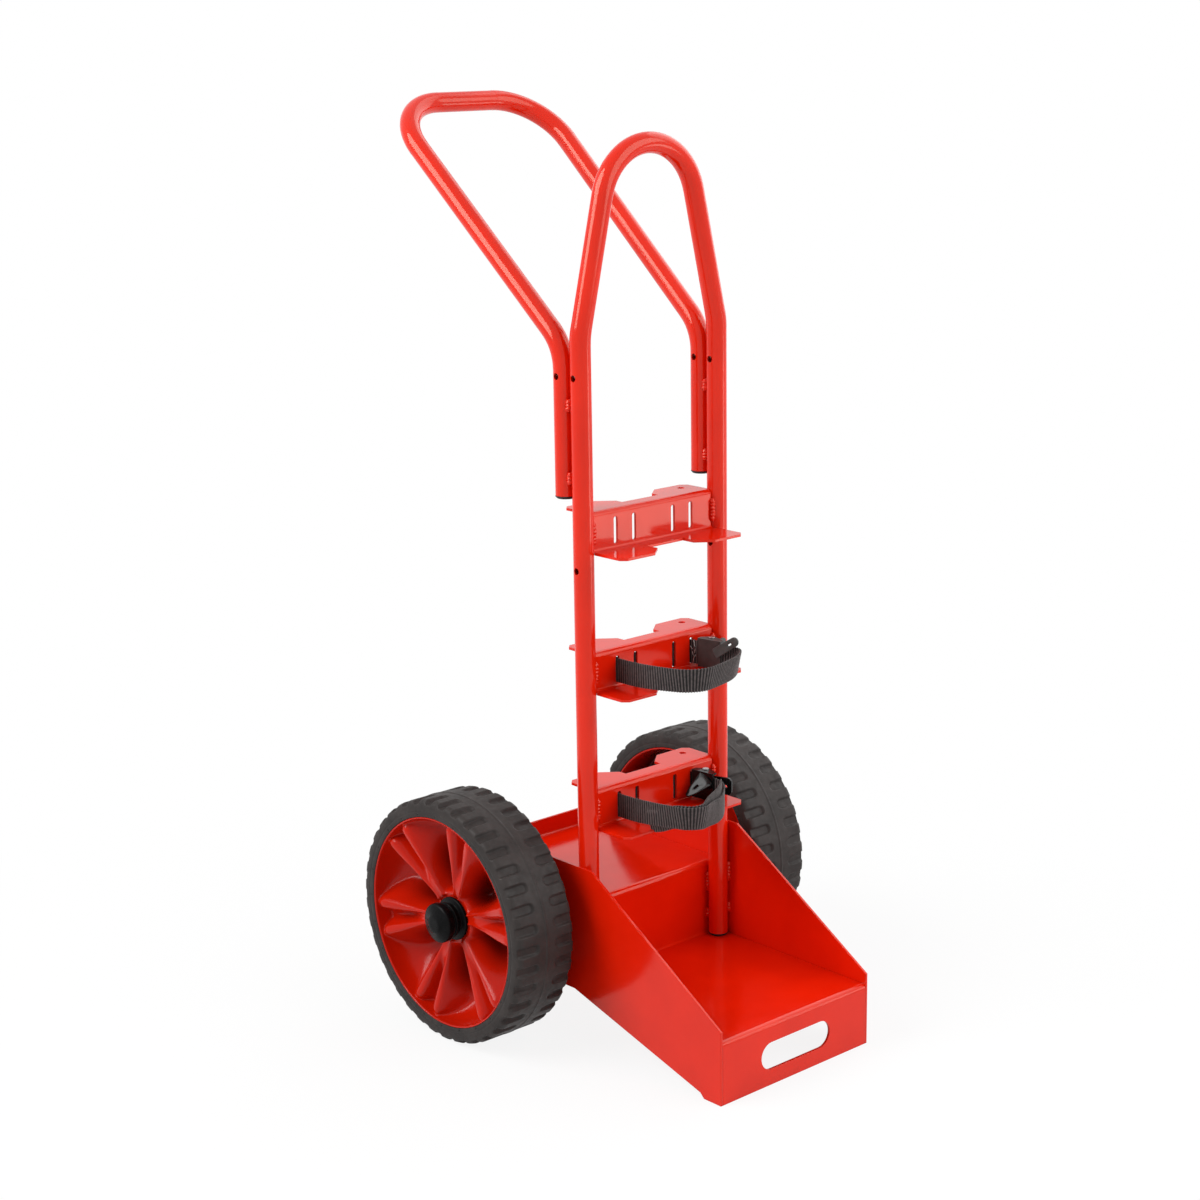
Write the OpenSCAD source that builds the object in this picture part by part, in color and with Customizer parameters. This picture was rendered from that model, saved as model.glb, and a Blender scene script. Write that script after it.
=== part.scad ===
// Gas cylinder trolley: bent tube frame, folded sheet tray, two spoked wheels and two webbing straps.
// Front (the tray lip) faces -Y, the wheels turn about X, Z is up, sizes are in millimetres.

/* [Frame tube] */
// Outside diameter of the frame and handle tubes
tube_d = 25; // [20:0.5:32]
// Wall of the tubes
tube_wall = 2; // [1.5:0.25:3]
// Distance between the two leg centres
leg_span = 220; // [190:1:260]
// Height of the top of the frame hoop
hoop_top_z = 1096; // [1000:1:1200]
// Inward lean of the hoop's sides, in degrees
hoop_lean = 13.3; // [10:0.1:20]
// Centre line radius of the hoop's three bends
hoop_bend_r = 75; // [60:1:85]
// Diameter of the drain holes drilled across the tubes
drain_hole_d = 8; // [5:0.5:10]
// Height of the lower drain holes in the frame legs
drain_low_z = 595; // [560:1:606]
// Height of the upper drain holes in the frame legs and the handle legs
drain_high_z = 822; // [800:1:826]

/* [Handle tube] */
// Clear gap between a frame leg and the handle leg behind it
handle_gap = 3.5; // [1:0.5:6]
// Distance of a handle leg's centre outside the frame leg's centre
handle_flare = 1; // [0:0.5:5]
// Height of the lower ends of the handle legs
handle_foot_z = 681; // [670:1:700]
// Height where the leg and arm centre lines would meet
handle_knee_z = 856.5; // [850:0.5:880]
// Rise of the handle arms above level, in degrees
handle_rise = 41.25; // [35:0.25:55]
// Outward splay of each handle arm, in degrees
handle_splay = 1.36; // [0.5:0.02:3]
// Length from the knee to the grip bar, along the arms
handle_reach = 408.5; // [330:0.5:450]
// Centre line radius of the knee bends
knee_bend_r = 60; // [45:1:75]
// Centre line radius of the two bends beside the grip bar
grip_bend_r = 75; // [55:1:90]

/* [Crossbars] */
// Height of the upper face of the lowest crossbar
bar_low_z = 321; // [300:1:340]
// Height from one crossbar to the next
bar_pitch = 170.5; // [150:0.5:172]
// Height of a crossbar over its two flanges
bar_h = 50; // [46:1:56]
// Thickness of the folded sheet
sheet = 3; // [2:0.25:4]
// Inside radius of the sheet's bends
fold_r = 3; // [2:0.5:4]
// Reach of the narrow flange strip between the ears, from the web
strip_reach = 20; // [14:1:24]
// Reach of the rear ears from the web's rear face
rear_ear_reach = 48; // [40:1:54]
// Reach of the front ears from the web's front face
front_ear_reach = 55; // [45:1:62]
// Distance from the middle to an ear's inner edge
ear_inner_x = 29.5; // [24:0.5:34]
// Distance of an ear's outer edge inside the leg centre
ear_inset = 10; // [4:0.5:14]
// Sideways run of the long chamfer on an ear's inner corner
ear_inner_chamfer = 20; // [12:1:24]
// Depth of the long chamfer on an ear's inner corner
ear_inner_chamfer_y = 17; // [10:1:22]
// Chamfer on an ear's outer corner
ear_outer_chamfer = 7; // [4:0.5:10]
// Diameter of the bolt hole in each rear ear
ear_hole_d = 9; // [6:0.5:11]
// Distance from the middle to the bolt hole
ear_hole_x = 79; // [70:0.5:86]
// Distance of the bolt hole behind the web's rear face
ear_hole_y = 31.5; // [24:0.5:36]
// Distance from the middle to the outer strap slots
slot_outer_x = 61.5; // [52:0.5:70]
// Distance from the middle to the inner strap slots
slot_inner_x = 32; // [24:0.5:40]
// Width of a strap slot
slot_w = 6; // [5:0.25:8]
// Length of a strap slot over its round ends
slot_h = 33; // [32:0.5:36]
// Distance of the slot middles below the crossbar's upper face
slot_drop = 26; // [25:0.5:28]

/* [Tray] */
// Distance of the tray's front face from the leg centres
tray_front = 241; // [220:1:270]
// Height of the tray floor
floor_z = 78; // [70:1:90]
// Clear height between the axle and the shelf over it
shelf_clear = 8.5; // [5:0.5:18]
// Distance of the rear upstand's front face from the leg centres
shelf_rear = 234; // [210:1:250]
// Height of the rear upstand above the shelf
upstand_h = 22; // [14:0.5:34]
// Outside radius of the tray's bends
tray_fold_r = 6; // [5:0.5:8]
// Length of the hand slot in the tray's front
hand_slot_l = 117; // [100:1:130]
// Height of the hand slot in the tray's front
hand_slot_h = 34; // [28:1:38]
// Height of the hand slot's middle
hand_slot_z = 37; // [32:0.5:42]
// Height of a side plate at the tray's front
plate_front_z = 91; // [84:1:100]
// Height of a side plate at its knee
plate_knee_z = 229; // [215:1:240]
// Distance of a side plate's knee in front of the leg centres
plate_knee_y = 20.5; // [15:0.5:40]
// Distance behind the leg centres where a side plate starts to fall
plate_fall_y = 70; // [50:1:90]
// Height of a side plate's lower edge behind the legs
plate_under_z = 68.5; // [60:0.5:72]
// Length of a side plate's flat foot at the front
plate_foot = 28; // [20:1:40]
// Height of the small step at the rear of the foot
plate_step = 6; // [3:0.5:10]
// Height of a side plate's lower rear corner
plate_tail_z = 118; // [105:1:130]
// Distance of the tail's lower break behind the leg centres
plate_tail_y = 170; // [150:1:190]

/* [Axle and wheels] */
// Diameter of the axle bar
axle_d = 20; // [16:0.5:25]
// Distance of the axle behind the leg centres
axle_y = 127.5; // [115:0.5:140]
// Height of a tyre's section, from its seat to the top of its lugs
tyre_h = 24; // [20:0.5:30]
// Width of a tyre
tyre_w = 88; // [80:1:96]
// Clear gap between a side plate and the tyre beside it
tyre_gap = 30.7; // [26:0.1:42]
// Diameter of the tyre's seat on the rim
seat_d = 260; // [250:1:264]
// Height of the rim's lip over the tyre seat
rim_lip = 3; // [2:0.25:4]
// Thickness of the rim's lip
lip_w = 3.5; // [2.5:0.25:5]
// Thickness of the wheel's walls
wheel_wall = 4.5; // [3.5:0.25:6]
// Depth of the wheel's dish below the rim's lip
dish_depth = 37; // [32:0.5:40]
// Radius where the dish runs up into the barrel
dish_r = 34; // [24:1:36]
// Diameter of the hub's boss
hub_d = 62; // [56:1:72]
// Distance of the hub's outer end inside the tyre's outer side
hub_depth = 28.5; // [26:0.5:32]
// Distance of the hub's inner end beyond the tyre's inner side
hub_tail = 3.5; // [2:0.5:6]
// Number of spokes, each a pair of ridges with a channel between
spokes = 6; // [5:1:8]
// Half of the spread of a spoke's ridges at the rim
ridge_out = 20; // [16:0.5:23]
// Half of the spread of a spoke's ridges at the hub
ridge_in = 11; // [9:0.5:13]
// Radius of a ridge's round back
ridge_r = 6; // [4.5:0.25:7]
// Height of the channel floor between a spoke's ridges, above the dish
channel_rise = 6; // [3:0.5:9]
// Number of lug gaps along each shoulder of the tyre
lug_gaps = 30; // [20:1:40]
// Width of a lug gap
lug_gap_w = 11; // [8:0.5:14]
// Depth of a lug gap
lug_gap_depth = 5; // [3:0.25:6]
// Clear band on each side of the tyre's middle line
lug_band = 8; // [5:0.5:12]

/* [Straps] */
// Width of the webbing
strap_w = 30; // [25:0.5:31]
// Thickness of the webbing
strap_t = 2; // [1.5:0.1:2.5]
// Straight run of each strap forward from its first slot
strap_forward = 30; // [20:1:36]
// Radius of the upper loop's left side
upper_side_r = 250; // [200:5:280]
// Radius of the upper loop's front bend
upper_front_r = 32; // [26:1:35]
// Radius of the upper loop's belly
upper_belly_r = 150; // [120:1:160]
// Radius of the upper loop's return
upper_return_r = 22; // [16:1:26]
// Radius of the lower loop's left side
lower_side_r = 520; // [450:10:560]
// Radius of the lower loop's front bend
lower_front_r = 18; // [14:1:22]
// Radius of the lower loop's belly
lower_belly_r = 210; // [180:5:240]
// Radius of the lower loop's return
lower_return_r = 14; // [11:1:16]

/* [Cam buckles] */
// Length of a buckle's body along the strap
buckle_l = 34; // [30:1:36]
// Thickness of a buckle's sheet
buckle_t = 2; // [1.5:0.1:2.5]
// Diameter of a buckle's pin
pin_d = 5; // [4:0.25:6]
// Radius of the cam's barrel
cam_r = 5; // [4.25:0.05:5.5]
// Length of the thumb lever from the pin
lever_l = 36; // [28:1:38]
// Width of the thumb lever
lever_w = 22; // [16:1:26]
// Thickness of the thumb lever
lever_t = 3; // [2:0.25:4]
// Angle of the resting upper lever from the strap's front, in degrees
upper_lever_open = 98; // [80:1:100]
// Angle of the resting lower lever from the strap's front, in degrees
lower_lever_open = 15; // [8:1:30]

/* [Hidden] */
$fn = 96;

red = [0.83, 0.1, 0.05];
weld_red = [0.78, 0.09, 0.05];
black = [0.05, 0.05, 0.055];
steel = [0.62, 0.63, 0.65];
rubber_black = [0.1, 0.095, 0.09];
bush_white = [0.85, 0.83, 0.76];
webbing_grey = [0.2, 0.2, 0.2];

// Cuts run past faces by eps, fixed pieces sit seat apart, turning pieces run with run_fit and side_play
eps = 0.5;
seat = 0.3;
run_fit = 0.05;
side_play = 0.4;

// Straight lengths are thinner than bends by thin on each side and reach into them by lap
thin = 0.1;
lap = 0.25;

// Tubes and their end plugs
tube_r = tube_d / 2;
bore_r = tube_r - tube_wall;
leg_x = leg_span / 2;
plug_t = 3;
plug_edge = 2;
plug_insert = 15;
plug_play = 0.2;
leg_foot_z = floor_z + plug_t + 2 * seat;

// Hoop: legs, a small inward bend, a leaning side and the round top
hoop_mid_z = hoop_top_z - tube_r - hoop_bend_r;
hoop_side_l = (leg_x - hoop_bend_r) / sin(hoop_lean);
hoop_bend_z = hoop_mid_z - hoop_side_l * cos(hoop_lean);
hoop_side_x = leg_x - hoop_bend_r * (1 - cos(hoop_lean));
hoop_side_z = hoop_bend_z + hoop_bend_r * sin(hoop_lean);

// Handle: upright legs, knees turned slightly outwards, arms and grip bar in one tilted plane
handle_x = leg_x + handle_flare;
handle_y = tube_d + handle_gap;
knee_turn = acos(cos(handle_splay) * sin(handle_rise));
knee_yaw = atan2(sin(handle_splay), cos(handle_splay) * cos(handle_rise));
knee_tangent = knee_bend_r * tan(knee_turn / 2);
knee_z = handle_knee_z - knee_tangent;
arm_start_x = handle_x + knee_tangent * sin(handle_splay);
arm_start_s = knee_tangent * cos(handle_splay);
grip_turn = 90 + handle_splay;
grip_mid_s = handle_reach - grip_bend_r;
arm_l = (grip_mid_s - grip_bend_r * sin(handle_splay) - arm_start_s) / cos(handle_splay);
grip_mid_x = arm_start_x + arm_l * sin(handle_splay) - grip_bend_r * cos(handle_splay);
grip_y = handle_y + handle_reach * cos(handle_rise);

// The trolley's depth is centred on Y = 0
mid_y = (grip_y + tube_r - tray_front) / 2;

// Beads between frame legs and handle legs
handle_bead_r = handle_gap / 2 + 2.25;
handle_bead_l = 14;
handle_bead_x = tube_r / 2;
handle_bead_low = 22;
handle_bead_high = 108;
handle_bead_low_z = handle_foot_z + handle_bead_low;
handle_bead_high_z = handle_foot_z + handle_bead_high;

// Crossbars
bar_mid_z = bar_low_z + bar_pitch;
bar_high_z = bar_low_z + 2 * bar_pitch;
web_front_y = -sheet;
web_rear_y = 0;
fold_out_r = fold_r + sheet;
strip_l = strip_reach + sheet - fold_out_r;
bar_bead_r = 2.5;
bar_bead_l = bar_h - 2 * fold_out_r - 12;
ear_outer_x = leg_x - ear_inset;
bar_bead_x = leg_x - tube_r + 0.5;
bead_out = 1;

// Tray
pan_x = leg_x + tube_r;
plate_x = pan_x + seat;
riser_y = tube_r + eps;
tail_y = shelf_rear + sheet;
tray_bead_r = 2.5;
riser_bead_x = leg_x - 0.56 * tube_r;
plate_bead_y = -0.56 * tube_r;
tray_bead_low = 28;
tray_bead_high = 70;
tray_bead_low_z = floor_z + tray_bead_low;
tray_bead_high_z = floor_z + tray_bead_high;
tray_bead_low_l = 12;
tray_bead_high_l = 26;
plate_bead_low_rise = 8;
plate_bead_high_rise = 14;
plate_bead_low_z = tray_bead_low_z + plate_bead_low_rise;
plate_bead_high_z = tray_bead_high_z + plate_bead_high_rise;

// Wheels, drawn with their axis on Z and the outer side up
axle_r = axle_d / 2;
seat_r = seat_d / 2;
tyre_r = seat_r + tyre_h;
axle_z = tyre_r;
wheel_mid_x = plate_x + sheet + tyre_gap + tyre_w / 2;
lip_r = seat_r + rim_lip;
lip_z = tyre_w / 2 - 0.5;
barrel_r = seat_r - wheel_wall;
dish_z = lip_z - dish_depth;
hub_r = hub_d / 2;
hub_top_z = tyre_w / 2 - hub_depth;
hub_low_z = -tyre_w / 2 - hub_tail;
hub_fillet = min(hub_top_z - dish_z - 1, 8);
bush_r = axle_r + run_fit;
bush_out_r = axle_r + 5;
ridge_low_z = hub_top_z - ridge_r;
ridge_high_z = lip_z - 15;
ridge_start_r = hub_r + 2;
ridge_end_r = barrel_r - 4;
ridge_turn = atan((ridge_out - ridge_in) / (ridge_end_r - ridge_start_r));
ridge_run = (ridge_end_r - ridge_start_r) / cos(ridge_turn);
ridge_slope = atan((ridge_high_z - ridge_low_z) / ridge_run);
ridge_l = ridge_run / cos(ridge_slope);
ridge_depth = ridge_high_z - dish_z + 2;

// Tyre section
shoulder_drop = 2.5;
crown_drop = 0.8;
mid_rib_w = 3;
mid_rib_h = 0.6;

// The shelf clears the axle
shelf_z = axle_z + axle_r + shelf_clear + sheet;
upstand_z = shelf_z + upstand_h;

// Washers, caps and spacers along the axle
washer_t = 2.5;
washer_ring = 10;
washer_r = axle_r + washer_ring;
washer_z = hub_top_z + side_play;
cap_z = washer_z + washer_t + seat;
cap_flange_r = axle_r + 15;
cap_flange_t = 4;
cap_neck_r = axle_r + 10.5;
cap_neck_h = 7;
cap_body_r = axle_r + 13;
cap_body_h = 17;
cap_chamfer = 5;
cap_edge = 1;
cap_body_z = cap_flange_t + cap_neck_h;
cap_chamfer_z = cap_body_z + cap_body_h;
axle_chamfer = 2;
axle_end_x = wheel_mid_x + cap_z + cap_chamfer_z - cap_chamfer;
axle_bead_r = 3;
axle_bead_in = 0.5;
spacer_r = axle_r + 6;
spacer_x = plate_x + sheet + seat;
spacer_end_x = wheel_mid_x + hub_low_z - side_play;

// Straps: headings in plan, turning left from the first outer slot to the second
strap_turn_r = 3;
strap_back_y = web_rear_y + eps + strap_t / 2;
strap_start_y = strap_back_y - strap_turn_r;
strap_first = 270;
strap_last = 540;
upper_headings = [270, 285, 372, 402, 460];
lower_headings = [270, 278, 392, 404, 455];
upper_radii = [upper_side_r, upper_front_r, upper_belly_r, upper_return_r];
lower_radii = [lower_side_r, lower_front_r, lower_belly_r, lower_return_r];

// Sideways and forward shift along a left turn of radius r from heading a to heading b
function turn_x(r, a, b) = r * (sin(b) - sin(a));
function turn_y(r, a, b) = r * (cos(a) - cos(b));
function turns_x(r, h) = turn_x(r[0], h[0], h[1]) + turn_x(r[1], h[1], h[2])
  + turn_x(r[2], h[2], h[3]) + turn_x(r[3], h[3], h[4]);
function turns_y(r, h) = turn_y(r[0], h[0], h[1]) + turn_y(r[1], h[1], h[2])
  + turn_y(r[2], h[2], h[3]) + turn_y(r[3], h[3], h[4]);

// Lengths of the front run and the return arm that bring a loop back to the second slot
function loop_dx(r, h) = 2 * slot_outer_x - turns_x(r, h);
function loop_dy(r, h) = strap_forward - turns_y(r, h);
function front_run(r, h) = (loop_dx(r, h) * sin(h[4]) - loop_dy(r, h) * cos(h[4])) / sin(h[4] - h[2]);
function arm_run(r, h) = (loop_dy(r, h) * cos(h[2]) - loop_dx(r, h) * sin(h[2])) / sin(h[4] - h[2]);
function arm_extra(h) = (strap_back_y - turn_y(strap_turn_r, h[4], strap_last) - strap_start_y) / sin(h[4]);
function back_run(h) = 2 * slot_outer_x - strap_turn_r
  + turn_x(strap_turn_r, h[4], strap_last) + arm_extra(h) * cos(h[4]);

// Cam buckles: X out from the strap, Y along the strap towards the web, Z across the strap
buckle_wall_x = -strap_t / 2 - seat - buckle_t;
ear_z = strap_w / 2 + 1;
tooth_h = 0.6;
cam_gap = 0.4;
pin_x = strap_t / 2 + cam_gap + tooth_h + cam_r;
pin_y = 3;
pin_r = pin_d / 2;
pin_head_r = pin_r + 1.5;
pin_head_t = 1;
boss_r = pin_r + 4;
ear_corner = 6;
cam_end_z = ear_z - side_play;
tooth_end_z = cam_end_z - 1.5;
cam_teeth = 5;
tooth_step = 16;
lever_hole_d = 4;
lever_corner = 6;

module in_place() translate([0, -mid_y, 0]) children();

module both_sides() {
  children();
  mirror([1, 0, 0]) children();
}

// A rod or bore that follows a bend: starts at the origin along +Y and turns left in the XY plane
module bend(r, bend_r, turn) {
  translate([-bend_r, 0, 0])
    rotate_extrude(angle = turn)
      translate([bend_r, 0]) circle(r = r);
}

// A rod or bore along +Y, lapped into the bends at both ends
module run(r, l) {
  translate([0, -lap, 0]) rotate([-90, 0, 0]) cylinder(r = r - thin, h = l + 2 * lap);
}

// Half of the hoop's path in its own plane: X sideways and Y up
module hoop_half(r, foot_z) {
  translate([leg_x, foot_z, 0]) run(r, hoop_bend_z - foot_z);
  translate([leg_x, hoop_bend_z, 0]) bend(r, hoop_bend_r, hoop_lean);
  translate([hoop_side_x, hoop_side_z, 0]) rotate([0, 0, hoop_lean]) run(r, hoop_side_l);
}

module hoop_path(r, foot_z) {
  rotate([90, 0, 0]) {
    both_sides() hoop_half(r, foot_z);
    translate([0, hoop_mid_z, 0])
      rotate([0, 0, hoop_lean])
        rotate_extrude(angle = 180 - 2 * hoop_lean)
          translate([hoop_bend_r, 0]) circle(r = r);
  }
}

module drain_hole(x, y, z) {
  translate([x, y, z]) rotate([0, 90, 0]) cylinder(d = drain_hole_d, h = tube_d + 2 * eps, center = true);
}

module frame_hoop() {
  in_place()
    color(red)
      difference() {
        hoop_path(tube_r, leg_foot_z + lap);
        hoop_path(bore_r, leg_foot_z - eps);
        both_sides() {
          drain_hole(leg_x, 0, drain_low_z);
          drain_hole(leg_x, 0, drain_high_z);
        }
      }
}

// A moulded plug for a tube end: a flange with a chamfered edge under the end and a stem inside the bore
module end_plug() {
  translate([0, 0, -plug_t - seat])
    rotate_extrude()
      polygon([
        [0, 0],
        [tube_r - plug_edge, 0],
        [tube_r, plug_edge],
        [tube_r, plug_t],
        [bore_r - plug_play, plug_t],
        [bore_r - plug_play, plug_t + plug_insert],
        [0, plug_t + plug_insert]
      ]);
}

module leg_plugs() {
  in_place()
    color(black)
      both_sides()
        translate([leg_x, 0, leg_foot_z]) end_plug();
}

// Handle path: legs and knees stand upright, arms and grip lie in the tilted plane
module handle_path(r, foot_z) {
  both_sides() {
    translate([handle_x, handle_y, foot_z]) rotate([90, 0, 0]) run(r, knee_z - foot_z);
    translate([handle_x, handle_y, knee_z])
      rotate([0, 0, -knee_yaw])
        rotate([90, 0, -90])
          bend(r, knee_bend_r, knee_turn);
  }
  translate([0, handle_y, handle_knee_z])
    rotate([handle_rise, 0, 0]) {
      both_sides() {
        translate([arm_start_x, arm_start_s, 0]) rotate([0, 0, -handle_splay]) run(r, arm_l);
        translate([grip_mid_x, grip_mid_s, 0])
          rotate([0, 0, -handle_splay])
            rotate_extrude(angle = grip_turn)
              translate([grip_bend_r, 0]) circle(r = r);
      }
      translate([grip_mid_x, handle_reach, 0]) rotate([0, 0, 90]) run(r, 2 * grip_mid_x);
    }
}

module handle_tube() {
  in_place()
    color(red)
      difference() {
        handle_path(tube_r, handle_foot_z + lap);
        handle_path(bore_r, handle_foot_z - eps);
        both_sides() drain_hole(handle_x, handle_y, drain_high_z);
      }
}

module handle_plugs() {
  in_place()
    color(black)
      both_sides()
        translate([handle_x, handle_y, handle_foot_z]) end_plug();
}

// A weld bead: a short round-ended rod along Z
module bead(r, l) {
  cylinder(r = r, h = l, center = true);
  translate([0, 0, l / 2]) sphere(r = r);
  translate([0, 0, -l / 2]) sphere(r = r);
}

module handle_welds() {
  in_place()
    color(weld_red)
      both_sides()
        for (z = [handle_bead_low_z, handle_bead_high_z], side = [-1, 1])
          translate([(leg_x + handle_x) / 2 + side * handle_bead_x, handle_y / 2, z])
            bead(handle_bead_r, handle_bead_l);
}

// A round-ended slot through the web, upright
module web_slot(x, z) {
  translate([x, web_front_y - eps, z])
    rotate([-90, 0, 0])
      linear_extrude(sheet + 2 * eps) {
        square([slot_w, slot_h - slot_w], center = true);
        for (end = [-1, 1])
          translate([0, end * (slot_h - slot_w) / 2]) circle(d = slot_w);
      }
}

// Flange outline in plan, from the fold's edge at y = 0 outwards along +Y
module flange_outline(reach) {
  ear_l = reach + sheet - fold_out_r;
  translate([-ear_inner_x, 0]) square([2 * ear_inner_x, strip_l]);
  for (side = [0, 1])
    mirror([side, 0])
      polygon([
        [ear_inner_x - eps, 0],
        [ear_inner_x - eps, strip_l],
        [ear_inner_x, strip_l],
        [ear_inner_x, ear_l - ear_inner_chamfer_y],
        [ear_inner_x + ear_inner_chamfer, ear_l],
        [ear_outer_x - ear_outer_chamfer, ear_l],
        [ear_outer_x, ear_l - ear_outer_chamfer],
        [ear_outer_x, 0]
      ]);
}

// The fold between web and flange, along X: a quarter ring
module fold_strip() {
  rotate([90, 0, 90])
    linear_extrude(2 * leg_x, center = true)
      intersection() {
        difference() {
          circle(r = fold_out_r);
          circle(r = fold_r);
        }
        translate([-fold_out_r, 0]) square(fold_out_r);
      }
}

// One crossbar with its upper face at z: web, upper flange to the rear, lower flange to the front
module crossbar(z) {
  difference() {
    union() {
      translate([-leg_x, web_front_y, z - bar_h + fold_out_r])
        cube([2 * leg_x, sheet, bar_h - 2 * fold_out_r]);
      translate([0, web_front_y + fold_out_r, z - fold_out_r]) fold_strip();
      translate([0, web_rear_y - fold_out_r, z - bar_h + fold_out_r]) rotate([180, 0, 0]) fold_strip();
      translate([0, web_front_y + fold_out_r, z - sheet])
        linear_extrude(sheet) flange_outline(rear_ear_reach);
      translate([0, web_rear_y - fold_out_r, z - bar_h])
        linear_extrude(sheet) mirror([0, 1]) flange_outline(front_ear_reach);
    }
    for (x = [-slot_outer_x, -slot_inner_x, slot_inner_x, slot_outer_x])
      web_slot(x, z - slot_drop);
    both_sides() {
      translate([leg_x, 0, z - bar_h - eps]) cylinder(r = tube_r + seat, h = bar_h + 2 * eps);
      translate([ear_hole_x, ear_hole_y, z - sheet - eps]) cylinder(d = ear_hole_d, h = sheet + 2 * eps);
    }
  }
}

module upper_crossbar() {
  in_place() color(red) crossbar(bar_high_z);
}

module middle_crossbar() {
  in_place() color(red) crossbar(bar_mid_z);
}

module lower_crossbar() {
  in_place() color(red) crossbar(bar_low_z);
}

module crossbar_welds() {
  in_place()
    color(weld_red)
      both_sides()
        for (z = [bar_low_z, bar_mid_z, bar_high_z], y = [web_front_y - bead_out, web_rear_y + bead_out])
          translate([bar_bead_x, y, z - bar_h / 2]) bead(bar_bead_r, bar_bead_l);
}

// A quarter ring of the tray's sheet, in section, in the quadrant given by two signs
module tray_fold(y_side, z_side) {
  intersection() {
    difference() {
      circle(r = tray_fold_r);
      circle(r = tray_fold_r - sheet);
    }
    translate([min(0, y_side * tray_fold_r), min(0, z_side * tray_fold_r)]) square(tray_fold_r);
  }
}

// Section of the folded pan: front, floor, riser, shelf and rear upstand
module pan_section() {
  front_fold_y = -tray_front + tray_fold_r;
  low_fold_y = riser_y + sheet - tray_fold_r;
  low_fold_z = floor_z - sheet + tray_fold_r;
  high_fold_y = riser_y + tray_fold_r;
  rear_fold_y = shelf_rear + sheet - tray_fold_r;
  rear_fold_z = shelf_z - sheet + tray_fold_r;
  translate([-tray_front, 0]) square([sheet, floor_z - tray_fold_r]);
  translate([front_fold_y, floor_z - tray_fold_r]) tray_fold(-1, 1);
  translate([front_fold_y, floor_z - sheet]) square([low_fold_y - front_fold_y, sheet]);
  translate([low_fold_y, low_fold_z]) tray_fold(1, -1);
  translate([riser_y, low_fold_z]) square([sheet, shelf_z - tray_fold_r - low_fold_z]);
  translate([high_fold_y, shelf_z - tray_fold_r]) tray_fold(-1, 1);
  translate([high_fold_y, shelf_z - sheet]) square([rear_fold_y - high_fold_y, sheet]);
  translate([rear_fold_y, rear_fold_z]) tray_fold(1, -1);
  translate([shelf_rear, rear_fold_z]) square([sheet, upstand_z - rear_fold_z]);
}

module tray_pan() {
  in_place()
    color(red)
      difference() {
        rotate([90, 0, 90]) linear_extrude(2 * pan_x, center = true) pan_section();
        translate([0, -tray_front - eps, hand_slot_z])
          rotate([-90, 0, 0])
            linear_extrude(sheet + 2 * eps) {
              square([hand_slot_l - hand_slot_h, hand_slot_h], center = true);
              for (end = [-1, 1])
                translate([end * (hand_slot_l - hand_slot_h) / 2, 0]) circle(d = hand_slot_h);
            }
      }
}

// Side plate outline: Y along the tray, Z up
module plate_outline() {
  polygon([
    [-tray_front, 0],
    [-tray_front + plate_foot, 0],
    [-tray_front + plate_foot + plate_step, plate_step],
    [tube_r, plate_under_z],
    [plate_tail_y, plate_under_z],
    [tail_y, plate_tail_z],
    [tail_y, upstand_z],
    [plate_fall_y, plate_knee_z],
    [-plate_knee_y, plate_knee_z],
    [-tray_front, plate_front_z]
  ]);
}

module side_plate() {
  difference() {
    translate([plate_x, 0, 0]) rotate([90, 0, 90]) linear_extrude(sheet) plate_outline();
    translate([plate_x - eps, axle_y, axle_z])
      rotate([0, 90, 0]) cylinder(r = axle_r + seat, h = sheet + 2 * eps);
  }
}

module left_side_plate() {
  in_place() color(red) mirror([1, 0, 0]) side_plate();
}

module right_side_plate() {
  in_place() color(red) side_plate();
}

module tray_welds() {
  in_place()
    color(weld_red)
      both_sides() {
        translate([riser_bead_x, riser_y - bead_out, tray_bead_low_z]) bead(tray_bead_r, tray_bead_low_l);
        translate([riser_bead_x, riser_y - bead_out, tray_bead_high_z]) bead(tray_bead_r, tray_bead_high_l);
        translate([plate_x - bead_out, plate_bead_y, plate_bead_low_z]) bead(tray_bead_r, tray_bead_low_l);
        translate([plate_x - bead_out, plate_bead_y, plate_bead_high_z]) bead(tray_bead_r, tray_bead_high_l);
      }
}

module along_axle(x) {
  translate([x, axle_y, axle_z]) rotate([0, 90, 0]) children();
}

module axle() {
  in_place()
    color(steel)
      along_axle(0) {
        cylinder(r = axle_r, h = 2 * (axle_end_x - axle_chamfer), center = true);
        for (end = [0, 1])
          mirror([0, 0, end])
            translate([0, 0, axle_end_x - axle_chamfer])
              cylinder(r1 = axle_r, r2 = axle_r - axle_chamfer, h = axle_chamfer);
      }
}

module axle_spacers() {
  in_place()
    color(steel)
      both_sides()
        along_axle(spacer_x)
          difference() {
            cylinder(r = spacer_r, h = spacer_end_x - spacer_x);
            translate([0, 0, -eps]) cylinder(r = axle_r + seat, h = spacer_end_x - spacer_x + 2 * eps);
          }
}

module axle_welds() {
  in_place()
    color(weld_red)
      both_sides()
        along_axle(plate_x)
          difference() {
            rotate_extrude() translate([axle_r + axle_bead_in, -bead_out]) circle(r = axle_bead_r);
            translate([0, 0, axle_bead_in]) cylinder(r = axle_r + 2 * axle_bead_r, h = 2 * axle_bead_r);
          }
}

module at_right_wheel() {
  along_axle(wheel_mid_x) children();
}

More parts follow.
